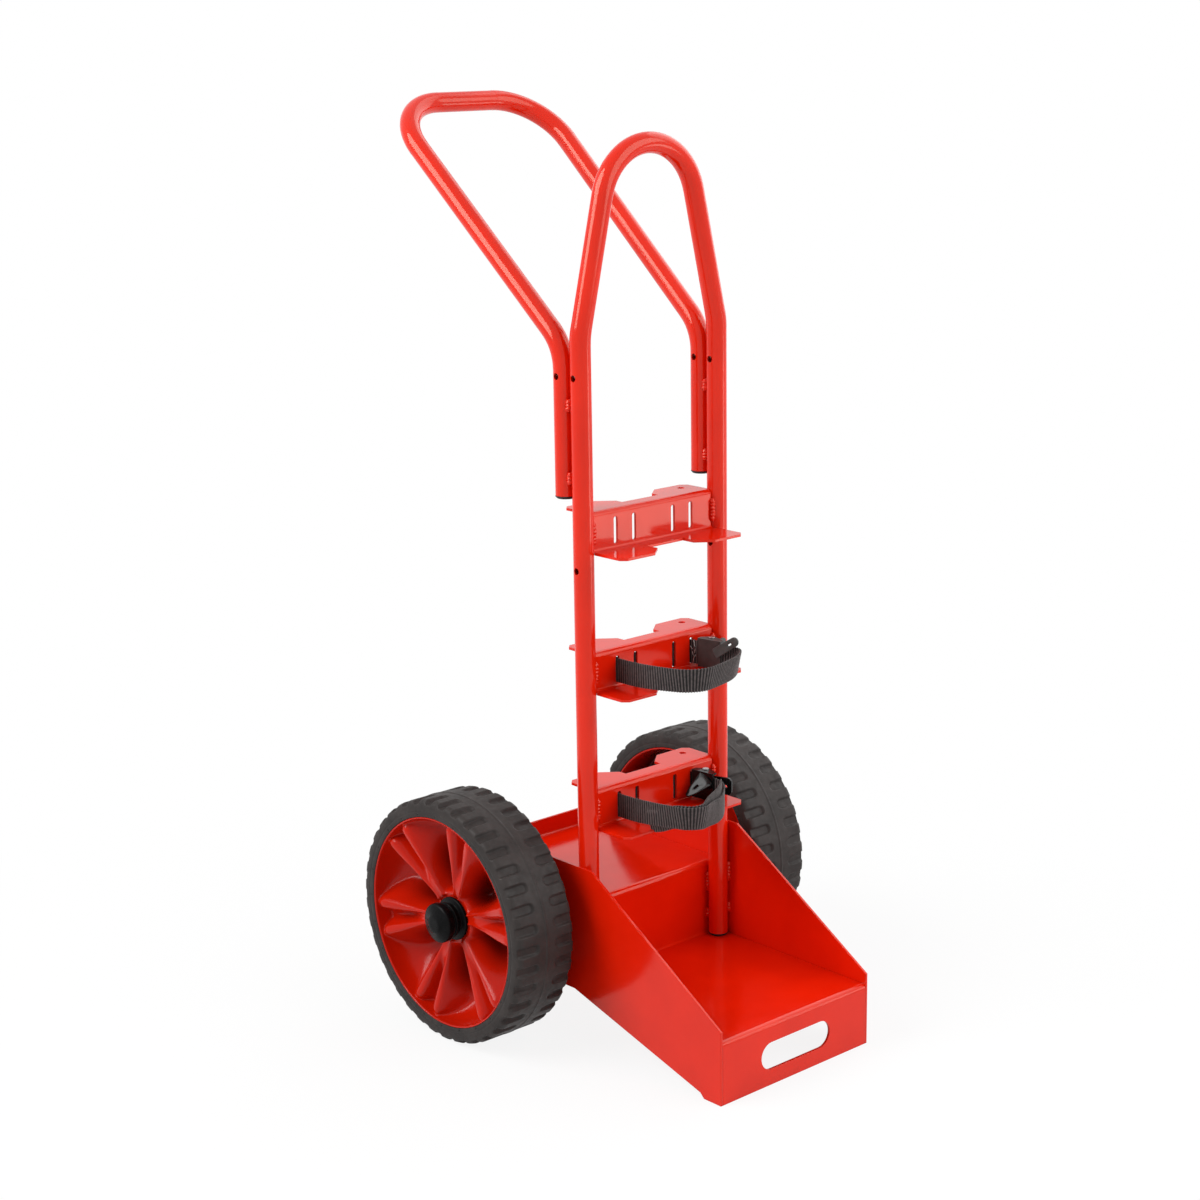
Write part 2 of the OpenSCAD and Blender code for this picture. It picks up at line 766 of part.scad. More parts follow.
// Half section of the wheel: barrel, dished web and hub, with radius on X
module rim_section() {
  bore = bush_out_r + seat;
  dish_end = barrel_r - dish_r;
  fillet_end = hub_r + hub_fillet;
  difference() {
    polygon([
      [bore, hub_low_z],
      [hub_r - wheel_wall, hub_low_z],
      [hub_r - wheel_wall, dish_z - 2 * wheel_wall],
      [hub_r, dish_z - wheel_wall],
      [barrel_r - dish_r / 2, dish_z - wheel_wall],
      [barrel_r, dish_z],
      [barrel_r, -lip_z + wheel_wall],
      [barrel_r + wheel_wall / 2, -lip_z],
      [lip_r, -lip_z],
      [lip_r, -lip_z + lip_w],
      [seat_r, -lip_z + lip_w],
      [seat_r, lip_z - lip_w],
      [lip_r, lip_z - lip_w],
      [lip_r, lip_z],
      [bore, lip_z]
    ]);
    translate([0, hub_top_z]) square([hub_r, dish_depth]);
    translate([hub_r, dish_z + hub_fillet]) square([hub_fillet, dish_depth]);
    translate([fillet_end, dish_z + hub_fillet]) circle(r = hub_fillet);
    translate([fillet_end, dish_z]) square([dish_end - fillet_end, dish_depth + eps]);
    translate([dish_end, dish_z + dish_r]) circle(r = dish_r);
    translate([dish_end - eps, dish_z + dish_r]) square([dish_r + eps, dish_depth]);
  }
}

// One ridge from hub to rim along +X: a wall with a round back
module ridge() {
  translate([ridge_start_r, ridge_in, ridge_low_z])
    rotate([0, 0, ridge_turn])
      rotate([0, 90 - ridge_slope, 0])
        linear_extrude(ridge_l) {
          circle(r = ridge_r);
          translate([0, -ridge_r]) square([ridge_depth, 2 * ridge_r]);
        }
}

// One spoke: two ridges and the channel floor between them
module spoke() {
  ridge();
  mirror([0, 1, 0]) ridge();
  translate([0, 0, dish_z - eps])
    linear_extrude(channel_rise + eps)
      polygon([
        [hub_r, -ridge_in],
        [ridge_end_r, -ridge_out],
        [ridge_end_r, ridge_out],
        [hub_r, ridge_in]
      ]);
}

module wheel_rim() {
  difference() {
    union() {
      rotate_extrude() rim_section();
      intersection() {
        for (i = [0:spokes - 1])
          rotate([0, 0, (i + 0.5) * 360 / spokes]) spoke();
        translate([0, 0, dish_z - wheel_wall / 2]) cylinder(r = barrel_r + wheel_wall / 2, h = lip_z);
      }
    }
    translate([0, 0, hub_low_z - eps]) cylinder(r = bush_out_r + seat, h = tyre_w);
  }
}

module left_wheel_rim() {
  in_place() color(red) mirror([1, 0, 0]) at_right_wheel() wheel_rim();
}

module right_wheel_rim() {
  in_place() color(red) at_right_wheel() wheel_rim();
}

// Half section of the tyre: flat sides, dropped shoulders, a slight crown and a middle rib
module tyre_section() {
  side_z = tyre_w / 2;
  polygon([
    [seat_r + seat, -lip_z + lip_w + seat],
    [lip_r + seat, -lip_z + lip_w + seat],
    [lip_r + seat, -side_z],
    [tyre_r - 3 * shoulder_drop, -side_z],
    [tyre_r - shoulder_drop, -side_z + shoulder_drop / 2],
    [tyre_r - crown_drop, -side_z + 2 * shoulder_drop],
    [tyre_r - mid_rib_h, -mid_rib_w / 2 - mid_rib_h],
    [tyre_r, -mid_rib_w / 2],
    [tyre_r, mid_rib_w / 2],
    [tyre_r - mid_rib_h, mid_rib_w / 2 + mid_rib_h],
    [tyre_r - crown_drop, side_z - 2 * shoulder_drop],
    [tyre_r - shoulder_drop, side_z - shoulder_drop / 2],
    [tyre_r - 3 * shoulder_drop, side_z],
    [lip_r + seat, side_z],
    [lip_r + seat, lip_z - lip_w - seat],
    [seat_r + seat, lip_z - lip_w - seat]
  ]);
}

// A lug gap: a round-ended finger across one shoulder, cut in from outside
module lug_gap() {
  gap_r = lug_gap_w / 2;
  translate([tyre_r - crown_drop - lug_gap_depth, 0, 0])
    rotate([0, 90, 0])
      linear_extrude(2 * lug_gap_depth + crown_drop) {
        translate([-lug_band - gap_r, 0]) circle(r = gap_r);
        translate([-tyre_w, -gap_r]) square([tyre_w - lug_band - gap_r, lug_gap_w]);
      }
}

module tyre() {
  pitch = 360 / lug_gaps;
  difference() {
    rotate_extrude() tyre_section();
    for (i = [0:lug_gaps - 1]) {
      rotate([0, 0, i * pitch]) lug_gap();
      rotate([0, 0, (i + 0.5) * pitch]) mirror([0, 0, 1]) lug_gap();
    }
  }
}

module left_tyre() {
  in_place() color(rubber_black) mirror([1, 0, 0]) at_right_wheel() tyre();
}

module right_tyre() {
  in_place() color(rubber_black) at_right_wheel() tyre();
}

// Plain bearing bush in the hub
module wheel_bush() {
  translate([0, 0, hub_low_z])
    difference() {
      cylinder(r = bush_out_r, h = hub_top_z - hub_low_z);
      translate([0, 0, -eps]) cylinder(r = bush_r, h = hub_top_z - hub_low_z + 2 * eps);
    }
}

module left_wheel_bush() {
  in_place() color(bush_white) mirror([1, 0, 0]) at_right_wheel() wheel_bush();
}

module right_wheel_bush() {
  in_place() color(bush_white) at_right_wheel() wheel_bush();
}

module axle_washers() {
  in_place()
    color(steel)
      both_sides()
        at_right_wheel()
          translate([0, 0, washer_z])
            difference() {
              cylinder(r = washer_r, h = washer_t);
              translate([0, 0, -eps]) cylinder(r = axle_r + seat, h = washer_t + 2 * eps);
            }
}

// Push-on cap: flange, grooved neck and a chamfered body over the axle's end
module hub_cap() {
  translate([0, 0, cap_z])
    rotate_extrude()
      polygon([
        [axle_r + seat, 0],
        [cap_flange_r - cap_edge, 0],
        [cap_flange_r, cap_edge],
        [cap_flange_r, cap_flange_t - cap_edge],
        [cap_flange_r - cap_edge, cap_flange_t],
        [cap_neck_r, cap_flange_t],
        [cap_neck_r, cap_body_z],
        [cap_body_r - cap_edge, cap_body_z],
        [cap_body_r, cap_body_z + cap_edge],
        [cap_body_r, cap_chamfer_z],
        [cap_body_r - cap_chamfer, cap_chamfer_z + cap_chamfer],
        [0, cap_chamfer_z + cap_chamfer],
        [0, cap_chamfer_z],
        [axle_r + seat, cap_chamfer_z - cap_chamfer + axle_chamfer]
      ]);
}

module left_hub_cap() {
  in_place() color(black) mirror([1, 0, 0]) at_right_wheel() hub_cap();
}

module right_hub_cap() {
  in_place() color(black) at_right_wheel() hub_cap();
}

// Webbing that turns left from the origin along +Y, lapped by extra at both ends, and what follows it
module strap_turn(bend_r, turn, side, extra) {
  more = extra / bend_r * 180 / PI;
  translate([-bend_r, 0, 0]) {
    rotate([0, 0, -more])
      rotate_extrude(angle = turn + 2 * more)
        translate([bend_r - strap_t / 2 + side, -strap_w / 2 + side])
          square([strap_t - 2 * side, strap_w - 2 * side]);
    rotate([0, 0, turn]) translate([bend_r, 0, 0]) children();
  }
}

// Straight webbing from the origin along +Y, lapped by extra at both ends, and what follows it
module strap_run(l, side, extra) {
  translate([-strap_t / 2 + side, -extra, -strap_w / 2 + side])
    cube([strap_t - 2 * side, l + 2 * extra, strap_w - 2 * side]);
  translate([0, l, 0]) children();
}

// A whole loop: forward from the first slot, round to the second, and back behind the web
module strap_loop(r, h) {
  translate([-slot_outer_x, strap_start_y, 0])
    rotate([0, 0, strap_first - 90])
      strap_run(strap_forward, thin, lap)
        strap_turn(r[0], h[1] - h[0], 0, 0)
          strap_turn(r[1], h[2] - h[1], thin, lap)
            strap_run(front_run(r, h), 0, 0)
              strap_turn(r[2], h[3] - h[2], thin, lap)
                strap_turn(r[3], h[4] - h[3], 0, 0)
                  strap_run(arm_run(r, h) + arm_extra(h), thin, lap)
                    strap_turn(strap_turn_r, strap_last - h[4], 0, 0)
                      strap_run(back_run(h), thin, lap)
                        strap_turn(strap_turn_r, 90, 0, 0);
}

module upper_strap() {
  in_place()
    color(webbing_grey)
      translate([0, 0, bar_mid_z - slot_drop]) strap_loop(upper_radii, upper_headings);
}

module lower_strap() {
  in_place()
    color(webbing_grey)
      translate([0, 0, bar_low_z - slot_drop]) strap_loop(lower_radii, lower_headings);
}

// A buckle's place: the middle of the return arm, facing outwards
module at_buckle(r, h, z) {
  half = arm_run(r, h) / 2;
  translate([slot_outer_x - half * cos(h[4]), strap_start_y - half * sin(h[4]), z - slot_drop])
    rotate([0, 0, h[4] - 90]) children();
}

module at_upper_buckle() {
  at_buckle(upper_radii, upper_headings, bar_mid_z) children();
}

module at_lower_buckle() {
  at_buckle(lower_radii, lower_headings, bar_low_z) children();
}

// Ear outline: from the wall behind the strap out to a boss around the pin
module ear_outline() {
  difference() {
    union() {
      polygon([
        [buckle_wall_x, -buckle_l / 2],
        [strap_t / 2 + ear_corner / 2, -buckle_l / 2],
        [pin_x + boss_r / 2, pin_y - boss_r],
        [pin_x + boss_r / 2, pin_y + boss_r],
        [strap_t / 2 + ear_corner / 2, buckle_l / 2],
        [buckle_wall_x, buckle_l / 2]
      ]);
      translate([pin_x, pin_y]) circle(r = boss_r);
    }
    translate([pin_x, pin_y]) circle(r = pin_r + seat);
  }
}

// Buckle body: a wall behind the strap with an ear above and below it
module buckle_body() {
  translate([buckle_wall_x, -buckle_l / 2, -ear_z]) cube([buckle_t, buckle_l, 2 * ear_z]);
  translate([0, 0, ear_z]) linear_extrude(buckle_t) ear_outline();
  translate([0, 0, -ear_z - buckle_t]) linear_extrude(buckle_t) ear_outline();
}

module upper_buckle_body() {
  in_place() color(black) at_upper_buckle() buckle_body();
}

module lower_buckle_body() {
  in_place() color(black) at_lower_buckle() buckle_body();
}

// Riveted pin through both ears
module buckle_pin() {
  translate([pin_x, pin_y, 0]) {
    cylinder(r = pin_r, h = 2 * (ear_z + buckle_t + seat), center = true);
    for (end = [0, 1])
      mirror([0, 0, end])
        translate([0, 0, ear_z + buckle_t + seat]) cylinder(r = pin_head_r, h = pin_head_t);
  }
}

module upper_buckle_pin() {
  in_place() color(steel) at_upper_buckle() buckle_pin();
}

module lower_buckle_pin() {
  in_place() color(steel) at_lower_buckle() buckle_pin();
}

// Thumb lever outline: length on X from the pin, width on Y, rounded at the tip, with a small hole
module lever_outline() {
  tip = lever_l - lever_corner;
  difference() {
    union() {
      translate([0, -lever_w / 2]) square([tip, lever_w]);
      translate([tip - eps, -lever_w / 2 + lever_corner])
        square([lever_corner + eps, lever_w - 2 * lever_corner]);
      for (side = [-1, 1])
        translate([tip, side * (lever_w / 2 - lever_corner)]) circle(r = lever_corner);
    }
    translate([tip - lever_hole_d / 2, 0]) circle(d = lever_hole_d);
  }
}

// Cam lever: toothed barrel on the pin with a flat thumb lever
module cam_lever(open) {
  translate([pin_x, pin_y, 0])
    rotate([0, 0, open - 90])
      difference() {
        union() {
          cylinder(r = cam_r, h = 2 * cam_end_z, center = true);
          rotate([90, 0, 0])
            linear_extrude(lever_t, center = true) lever_outline();
          for (i = [0:cam_teeth - 1])
            rotate([0, 0, 270 - open + (i - (cam_teeth - 1) / 2) * tooth_step])
              translate([cam_r, 0, 0]) cylinder(r = tooth_h, h = 2 * tooth_end_z, center = true);
        }
        cylinder(r = pin_r + run_fit, h = 2 * ear_z, center = true);
      }
}

module upper_cam_lever() {
  in_place() color(black) at_upper_buckle() cam_lever(upper_lever_open);
}

module lower_cam_lever() {
  in_place() color(black) at_lower_buckle() cam_lever(lower_lever_open);
}

frame_hoop();
leg_plugs();
handle_tube();
handle_plugs();
handle_welds();
upper_crossbar();
middle_crossbar();
lower_crossbar();
crossbar_welds();
tray_pan();
left_side_plate();
right_side_plate();
tray_welds();
axle();
axle_spacers();
axle_welds();
axle_washers();
left_hub_cap();
right_hub_cap();
left_wheel_rim();
right_wheel_rim();
left_tyre();
right_tyre();
left_wheel_bush();
right_wheel_bush();
upper_strap();
lower_strap();
upper_buckle_body();
lower_buckle_body();
upper_buckle_pin();
lower_buckle_pin();
upper_cam_lever();
lower_cam_lever();
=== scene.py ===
import math
import random

import bmesh
import bpy
from mathutils import Matrix, Vector, noise


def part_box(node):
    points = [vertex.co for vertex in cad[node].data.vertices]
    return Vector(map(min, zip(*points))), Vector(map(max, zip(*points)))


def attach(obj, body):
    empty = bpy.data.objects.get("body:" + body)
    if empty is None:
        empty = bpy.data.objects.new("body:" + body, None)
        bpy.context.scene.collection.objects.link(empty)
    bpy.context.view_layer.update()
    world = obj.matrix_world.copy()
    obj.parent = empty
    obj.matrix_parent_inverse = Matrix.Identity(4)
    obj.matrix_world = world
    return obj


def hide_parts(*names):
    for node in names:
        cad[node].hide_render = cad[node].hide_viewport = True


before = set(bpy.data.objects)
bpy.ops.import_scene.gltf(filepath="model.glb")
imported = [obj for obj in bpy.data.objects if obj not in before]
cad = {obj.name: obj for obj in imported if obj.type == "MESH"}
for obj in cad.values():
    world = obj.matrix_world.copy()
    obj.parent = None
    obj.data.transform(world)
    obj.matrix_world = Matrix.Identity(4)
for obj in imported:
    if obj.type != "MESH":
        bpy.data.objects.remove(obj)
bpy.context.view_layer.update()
mm = 0.001


# Frame hoop and handle: two bent steel tubes, welded together leg to leg.
# The whole frame is powder coated red after welding, with a faint orange peel in the gloss.
coat_red = (0.71, 0.012, 0.0008)
coat_deep = (0.65, 0.010, 0.0006)
coat_glint = (1, 0.95, 0.78, 1)
coat_patch, coat_haze, coat_wave = 70 * mm, 9 * mm, 14 * mm
tube_rough, tube_peel, tube_ior = 0.1, 0.005 * mm, 1.42
edge_samples = 6


def finish(name, sockets):
    """A new material with its shader's fixed sockets set."""
    material = bpy.data.materials.new(name)
    material.use_nodes = True
    tree = material.node_tree
    shader = tree.nodes["Principled BSDF"]
    for socket, value in sockets.items():
        shader.inputs[socket].default_value = value
    return material, tree, shader


def patches(tree, size, detail, stretch=(1, 1, 1)):
    """Cloudy patches of about one size over the piece, from 0 to 1."""
    place = tree.nodes.new("ShaderNodeTexCoord")
    stretched = tree.nodes.new("ShaderNodeMapping")
    stretched.inputs["Scale"].default_value = stretch
    cloud = tree.nodes.new("ShaderNodeTexNoise")
    cloud.inputs["Scale"].default_value = 1 / size
    cloud.inputs["Detail"].default_value = detail
    tree.links.new(place.outputs["Object"], stretched.inputs["Vector"])
    tree.links.new(stretched.outputs["Vector"], cloud.inputs["Vector"])
    return cloud.outputs["Fac"]


def shades(tree, value, low, high):
    """The colour at a value, between a low and a high stop of (value, colour)."""
    ramp = tree.nodes.new("ShaderNodeValToRGB")
    for mark, (where, colour) in zip(ramp.color_ramp.elements, (low, high)):
        mark.position = where
        mark.color = (*colour, 1)
    tree.links.new(value, ramp.inputs["Fac"])
    return ramp.outputs["Color"]


def spread(tree, value, low, high, start=0.3, end=0.7):
    """A value between start and end, spread from low to high."""
    scale = tree.nodes.new("ShaderNodeMapRange")
    limits = {"From Min": start, "From Max": end, "To Min": low, "To Max": high}
    for socket, number in limits.items():
        scale.inputs[socket].default_value = number
    tree.links.new(value, scale.inputs["Value"])
    return scale.outputs["Result"]


def lay_on(tree, shader, tone, rough):
    """Gives a shader its colour and its roughness."""
    tree.links.new(tone, shader.inputs["Base Color"])
    tree.links.new(rough, shader.inputs["Roughness"])


def relief(tree, shader, height, depth, strength):
    """Raises the surface by a height from 0 to 1, on top of any relief it has."""
    bump = tree.nodes.new("ShaderNodeBump")
    bump.inputs["Strength"].default_value = strength
    bump.inputs["Distance"].default_value = depth
    tree.links.new(height, bump.inputs["Height"])
    for link in shader.inputs["Normal"].links:
        tree.links.new(link.from_socket, bump.inputs["Normal"])
    tree.links.new(bump.outputs["Normal"], shader.inputs["Normal"])


def soft_edges(tree, shader, radius):
    """Rounds the look of cut edges, where paint or moulding never leaves a sharp corner."""
    edge = tree.nodes.new("ShaderNodeBevel")
    edge.samples = edge_samples
    edge.inputs["Radius"].default_value = radius
    tree.links.new(edge.outputs["Normal"], shader.inputs["Normal"])


def red_coat(name, rough, peel, ior, edge_r=0):
    """Red powder coat, deeper in broad patches, and rounded at the edges of cut sheet."""
    material, tree, shader = finish(name, {"IOR": ior, "Specular Tint": coat_glint})
    if edge_r:
        soft_edges(tree, shader, edge_r)
    tone = shades(tree, patches(tree, coat_patch, 3), (0.35, coat_deep), (0.65, coat_red))
    lay_on(tree, shader, tone, spread(tree, patches(tree, coat_haze, 4), rough, rough + 0.06))
    relief(tree, shader, patches(tree, coat_wave, 1), peel, 0.25)
    return material


def dress(material, *names):
    """Gives CAD nodes their finish."""
    for name in names:
        cad[name].material_slots[0].material = material


dress(red_coat("red tube coat", tube_rough, tube_peel, tube_ior), "frame_hoop", "handle_tube")


# Leg and handle plugs: black mouldings pushed into the open tube ends.
# Soft polyethylene with a fine moulded grain and a gloss that is a little uneven.
plug_dark, plug_light = (0.010, 0.010, 0.011), (0.018, 0.018, 0.019)
plug_rough, plug_edge_r = 0.5, 0.4 * mm
moulding_cloud, moulding_haze = 14 * mm, 5 * mm
grain_size, grain_depth = 0.5 * mm, 0.03 * mm


def moulding(name, dark, light, rough, edge_r, shine=0.25):
    """Moulded plastic of one dark colour, with rounded edges."""
    material, tree, shader = finish(name, {"IOR": 1.5, "Specular IOR Level": shine})
    soft_edges(tree, shader, edge_r)
    tone = shades(tree, patches(tree, moulding_cloud, 4), (0.35, dark), (0.7, light))
    haze = patches(tree, moulding_haze, 3)
    lay_on(tree, shader, tone, spread(tree, haze, rough - 0.06, rough + 0.08))
    relief(tree, shader, patches(tree, grain_size, 2), grain_depth, 0.4)
    return material


dress(moulding("plug plastic", plug_dark, plug_light, plug_rough, plug_edge_r), "leg_plugs", "handle_plugs")


# Crossbars: three strips of sheet folded to a Z, slotted for the straps and eared at both flanges.
# They are coated with the frame, so their cut edges and folds are soft and catch the light.
crossbars = ("upper_crossbar", "middle_crossbar", "lower_crossbar")
sheet_rough, sheet_peel, sheet_ior, sheet_edge_r = 0.1, 0.05 * mm, 1.38, 1.1 * mm
sheet_coat = red_coat("red sheet coat", sheet_rough, sheet_peel, sheet_ior, sheet_edge_r)
dress(sheet_coat, *crossbars)


# Weld beads: short runs laid where crossbars, handle legs, riser and side plates meet the legs.
# Each is a rod of overlapping ripples under the red coat, a little uneven from end to end.
tube_r = 12.5 * mm
leg_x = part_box("leg_plugs")[1].x - tube_r
leg_y = (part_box("frame_hoop")[0].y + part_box("frame_hoop")[1].y) / 2
bead_turns, ripple_rows = 16, 6
ripple_pitch, ripple_mean, ripple_swing = 4.2 * mm, 0.9, 0.13
bead_end_power = 6
wander_size, wander_reach, wander_seed = 4 * mm, 0.7 * mm, 4
weld_rough, weld_peel = 0.16, 0.05 * mm
bead_r = 4 * mm
seam = 0.002 * mm


def piece(name, mesh, material, body, slot, *stands_for):
    """Closes a bmesh at its seams and adds it as a piece that rides on a body."""
    bmesh.ops.remove_doubles(mesh, verts=mesh.verts, dist=seam)
    bmesh.ops.recalc_face_normals(mesh, faces=mesh.faces)
    for face in mesh.faces:
        face.smooth = True
    data = bpy.data.meshes.new(name)
    mesh.to_mesh(data)
    mesh.free()
    data.materials.append(material)
    made = bpy.data.objects.new(name, data)
    bpy.context.scene.collection.objects.link(made)
    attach(made, body)
    if stands_for:
        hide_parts(*stands_for)
    return made


def turned(mesh, outline, steps, closed=False, angle=math.tau):
    """Turns an outline of (radius, height) points about Z and gives back its new vertices."""
    first = len(mesh.verts)
    points = [mesh.verts.new((radius, 0, height)) for radius, height in outline]
    ends = points[1:] + points[:1] if closed else points[1:]
    lines = [mesh.edges.new(pair) for pair in zip(points, ends)]
    bmesh.ops.spin(mesh, geom=points + lines, cent=(0, 0, 0), axis=(0, 0, 1), dvec=(0, 0, 0),
                   angle=angle, steps=steps, use_merge=angle == math.tau)
    mesh.verts.ensure_lookup_table()
    return mesh.verts[first:]


def weld_run(mesh, middle, radius, length):
    """One upright bead: a rippled rod with round ends, pushed about by the welder's hand."""
    rows = round(length / ripple_pitch) * ripple_rows
    outline = []
    for row in range(rows + 1):
        share = 2 * row / rows - 1
        ripple = ripple_mean + ripple_swing * math.cos(math.tau * row / ripple_rows)
        round_end = math.sqrt(1 - share ** bead_end_power)
        outline.append((radius * ripple * round_end, share * length / 2))
    for point in turned(mesh, outline, bead_turns):
        wander = noise.noise_vector((point.co + middle) / wander_size) * wander_reach
        point.co += middle + Vector((wander.x, wander.y, 0))


def both_sides(x):
    return (-x, x)


weld_coat = red_coat("red weld coat", weld_rough, weld_peel, tube_ior)
noise.seed_set(wander_seed)

handle_bead_x, handle_bead_y = leg_x + 0.5 * mm, leg_y + 14.25 * mm
handle_bead_rows, handle_bead_l = (703 * mm, 789 * mm), 15 * mm
beside_joint = 6.25 * mm
beads = bmesh.new()
for z in handle_bead_rows:
    for side in both_sides(1):
        for x in both_sides(beside_joint):
            middle = Vector((side * handle_bead_x + x, handle_bead_y, z))
            weld_run(beads, middle, bead_r, handle_bead_l)
piece("handle_weld_beads", beads, weld_coat, "chassis", "weld_paint", "handle_welds")

bar_bead_x, bar_bead_l = leg_x - 12 * mm, 30 * mm
bar_bead_drop = 25 * mm
bar_bead_passes = (-4 * mm, 1 * mm)
beads = bmesh.new()
for bar in crossbars:
    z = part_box(bar)[1].z - bar_bead_drop
    for x in both_sides(bar_bead_x):
        for y in bar_bead_passes:
            weld_run(beads, Vector((x, leg_y + y, z)), bead_r, bar_bead_l)
piece("crossbar_weld_beads", beads, weld_coat, "chassis", "weld_paint", "crossbar_welds")

tray_bead_r = 3.1 * mm
riser_bead_x, riser_bead_y = leg_x - 7 * mm, leg_y + 12 * mm
plate_bead_x, plate_bead_y = leg_x + 11.8 * mm, leg_y - 7 * mm
short_bead_l, long_bead_l = 13 * mm, 27 * mm
tray_bead_places = (
    (riser_bead_x, riser_bead_y, 106 * mm, short_bead_l),
    (riser_bead_x, riser_bead_y, 148 * mm, long_bead_l),
    (plate_bead_x, plate_bead_y, 114 * mm, short_bead_l),
    (plate_bead_x, plate_bead_y, 162 * mm, long_bead_l),
)
beads = bmesh.new()
for bead_x, y, z, length in tray_bead_places:
    for x in both_sides(bead_x):
        weld_run(beads, Vector((x, y, z)), tray_bead_r, length)
piece("tray_weld_beads", beads, weld_coat, "chassis", "weld_paint", "tray_welds")


# Tray and side plates: one folded pan for the cylinder's foot, with a hand slot in its lip,
# welded between two cut gussets that also carry the axle. Coated with the frame.
dress(sheet_coat, "tray_pan", "left_side_plate", "right_side_plate")


# Axle, spacers and washers: plain turned steel, zinc plated and left bright, welded to the side plates.
# Fine turning marks run round the axle's line and the plating is a little cloudy.
zinc_dull, zinc_bright = (0.36, 0.37, 0.38), (0.56, 0.56, 0.55)
zinc_cloud, zinc_haze, zinc_edge_r = 9 * mm, 4 * mm, 0.4 * mm
turning_pitch, turning_depth, turning_stretch = 0.5 * mm, 0.02 * mm, (1, 0.02, 0.02)


def bright_steel(name):
    """Zinc plated steel with fine turning marks."""
    material, tree, shader = finish(name, {"Metallic": 1.0})
    soft_edges(tree, shader, zinc_edge_r)
    tone = shades(tree, patches(tree, zinc_cloud, 4), (0.3, zinc_dull), (0.7, zinc_bright))
    lay_on(tree, shader, tone, spread(tree, patches(tree, zinc_haze, 3), 0.22, 0.4))
    relief(tree, shader, patches(tree, turning_pitch, 1, turning_stretch), turning_depth, 0.5)
    return material


dress(bright_steel("plated steel"), "axle", "axle_spacers", "axle_washers")
dress(weld_coat, "axle_welds")


# Wheel rims: red mouldings with a bowl between hub and lip, and six spokes of two round-backed ridges.
# The ridges run straight out from the hub, with a channel between them that deepens towards the lip.
# Wheel sizes are in millimetres, as radii about the axle and as heights over the wheel's middle.
wheel_centre = (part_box("right_tyre")[0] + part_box("right_tyre")[1]) / 2
wheels = (("left", -1), ("right", 1))
spokes, spoke_steps = 6, 40
spoke_pitch = math.tau / spokes
rim_turn = math.radians(-12.8)
hub_bore_r, hub_top = 15.3, 18.3
bowl_start_r, bowl_end_r = 56.0, 129.8
bowl_low, bowl_high = -16.0, 41.0
bowl_power, bowl_fullness = 2.6, 2.2
foot_start_r, foot_rows, foot_crowding = 29, 14, 1.2
bowl_rows = 22
ridge_turn = math.radians(8)
ridge_start_r, ridge_end_r = 30.0, 127.0
ridge_low, ridge_high, ridge_round = 21.5, 40.5, 3.4
crest_fall_r, crest_fall = 120, 20
flank_blend, channel_blend, channel_slope = 9, 1.6, 2.4
spoke_inner_r, bowl_touch = 28, 0.05
sector_seam = 0.005 * mm

# Sizes that change on the way out from the hub: first radius, last radius, first size, last size.
bowl_foot = (31.0, 47, hub_top, bowl_low)
ridge_top_half = (40, 120, 0.6, 3.6)
flank_slope = (50, 110, 3.2, 1.75)
channel_depth = (41, 100, 0, 18.0)
spoke_share = (27.5, 32, 0, 1)

# Painted shade on the moulding: darker deep in the bays near the hub, and high up behind the bowl.
bay_shade_depth, bay_shade_reach = (3, 34), (62, 122)
behind_shade, behind_from = (-42, 0, 0, 0.9), 3

hub_face = [(hub_bore_r, 15.5), (20.6, 15.5), (21, 15.8), (21.2, 17.8), (21.6, hub_top), (24, hub_top),
            (27, hub_top)]
lip_inside = [(129.9, 41.8), (130.2, 42.6), (130.9, 43.2)]
lip_outside = [(131.6, 43.3), (132.1, 42.9), (132.2, 41), (131.8, 40.2), (130.6, 39.8), (130, 39)]
rim_back = [(130.9, -43.2), (130.1, -42.8), (129.4, -41.5), (128.2, -37), (127.6, -20), (127.6, 10),
            (125, 4), (114, -9), (90, -18), (60, -21), (34, -21), (30.5, -21.5), (27, -23), (26.5, -25),
            (26.5, -32), (26.5, -46), (26, -47.5), (16, -47.5), (hub_bore_r, -46), (hub_bore_r, -20),
            (hub_bore_r, 15)]


def smooth_step(value, start, end):
    """Runs smoothly from 0 at the start to 1 at the end."""
    share = min(max((value - start) / (end - start), 0), 1)
    return share * share * (3 - 2 * share)


def eased(value, start, end, first, last):
    """A size that runs smoothly from the first to the last while a value goes from start to end."""
    return first + (last - first) * smooth_step(value, start, end)


def higher(a, b, blend):
    """The higher of two heights, running smoothly from one to the other."""
    return (a + b + math.hypot(a - b, blend)) / 2


def bowl_height(r):
    """Height of the plain bowl between the spokes, from the hub's edge up to the lip."""
    if r < bowl_start_r:
        return eased(r, *bowl_foot)
    share = min((r - bowl_start_r) / (bowl_end_r - bowl_start_r), 1)
    return bowl_high - (bowl_high - bowl_low) * (1 - share ** bowl_power) ** (1 / bowl_fullness)


def crest_height(r):
    """Height of a ridge's back, rising straight from the hub and dropping a little at the lip."""
    rise = (ridge_high - ridge_low) * (r - ridge_start_r) / (ridge_end_r - ridge_start_r)
    return ridge_low + rise - max(r - crest_fall_r, 0) ** 2 / crest_fall


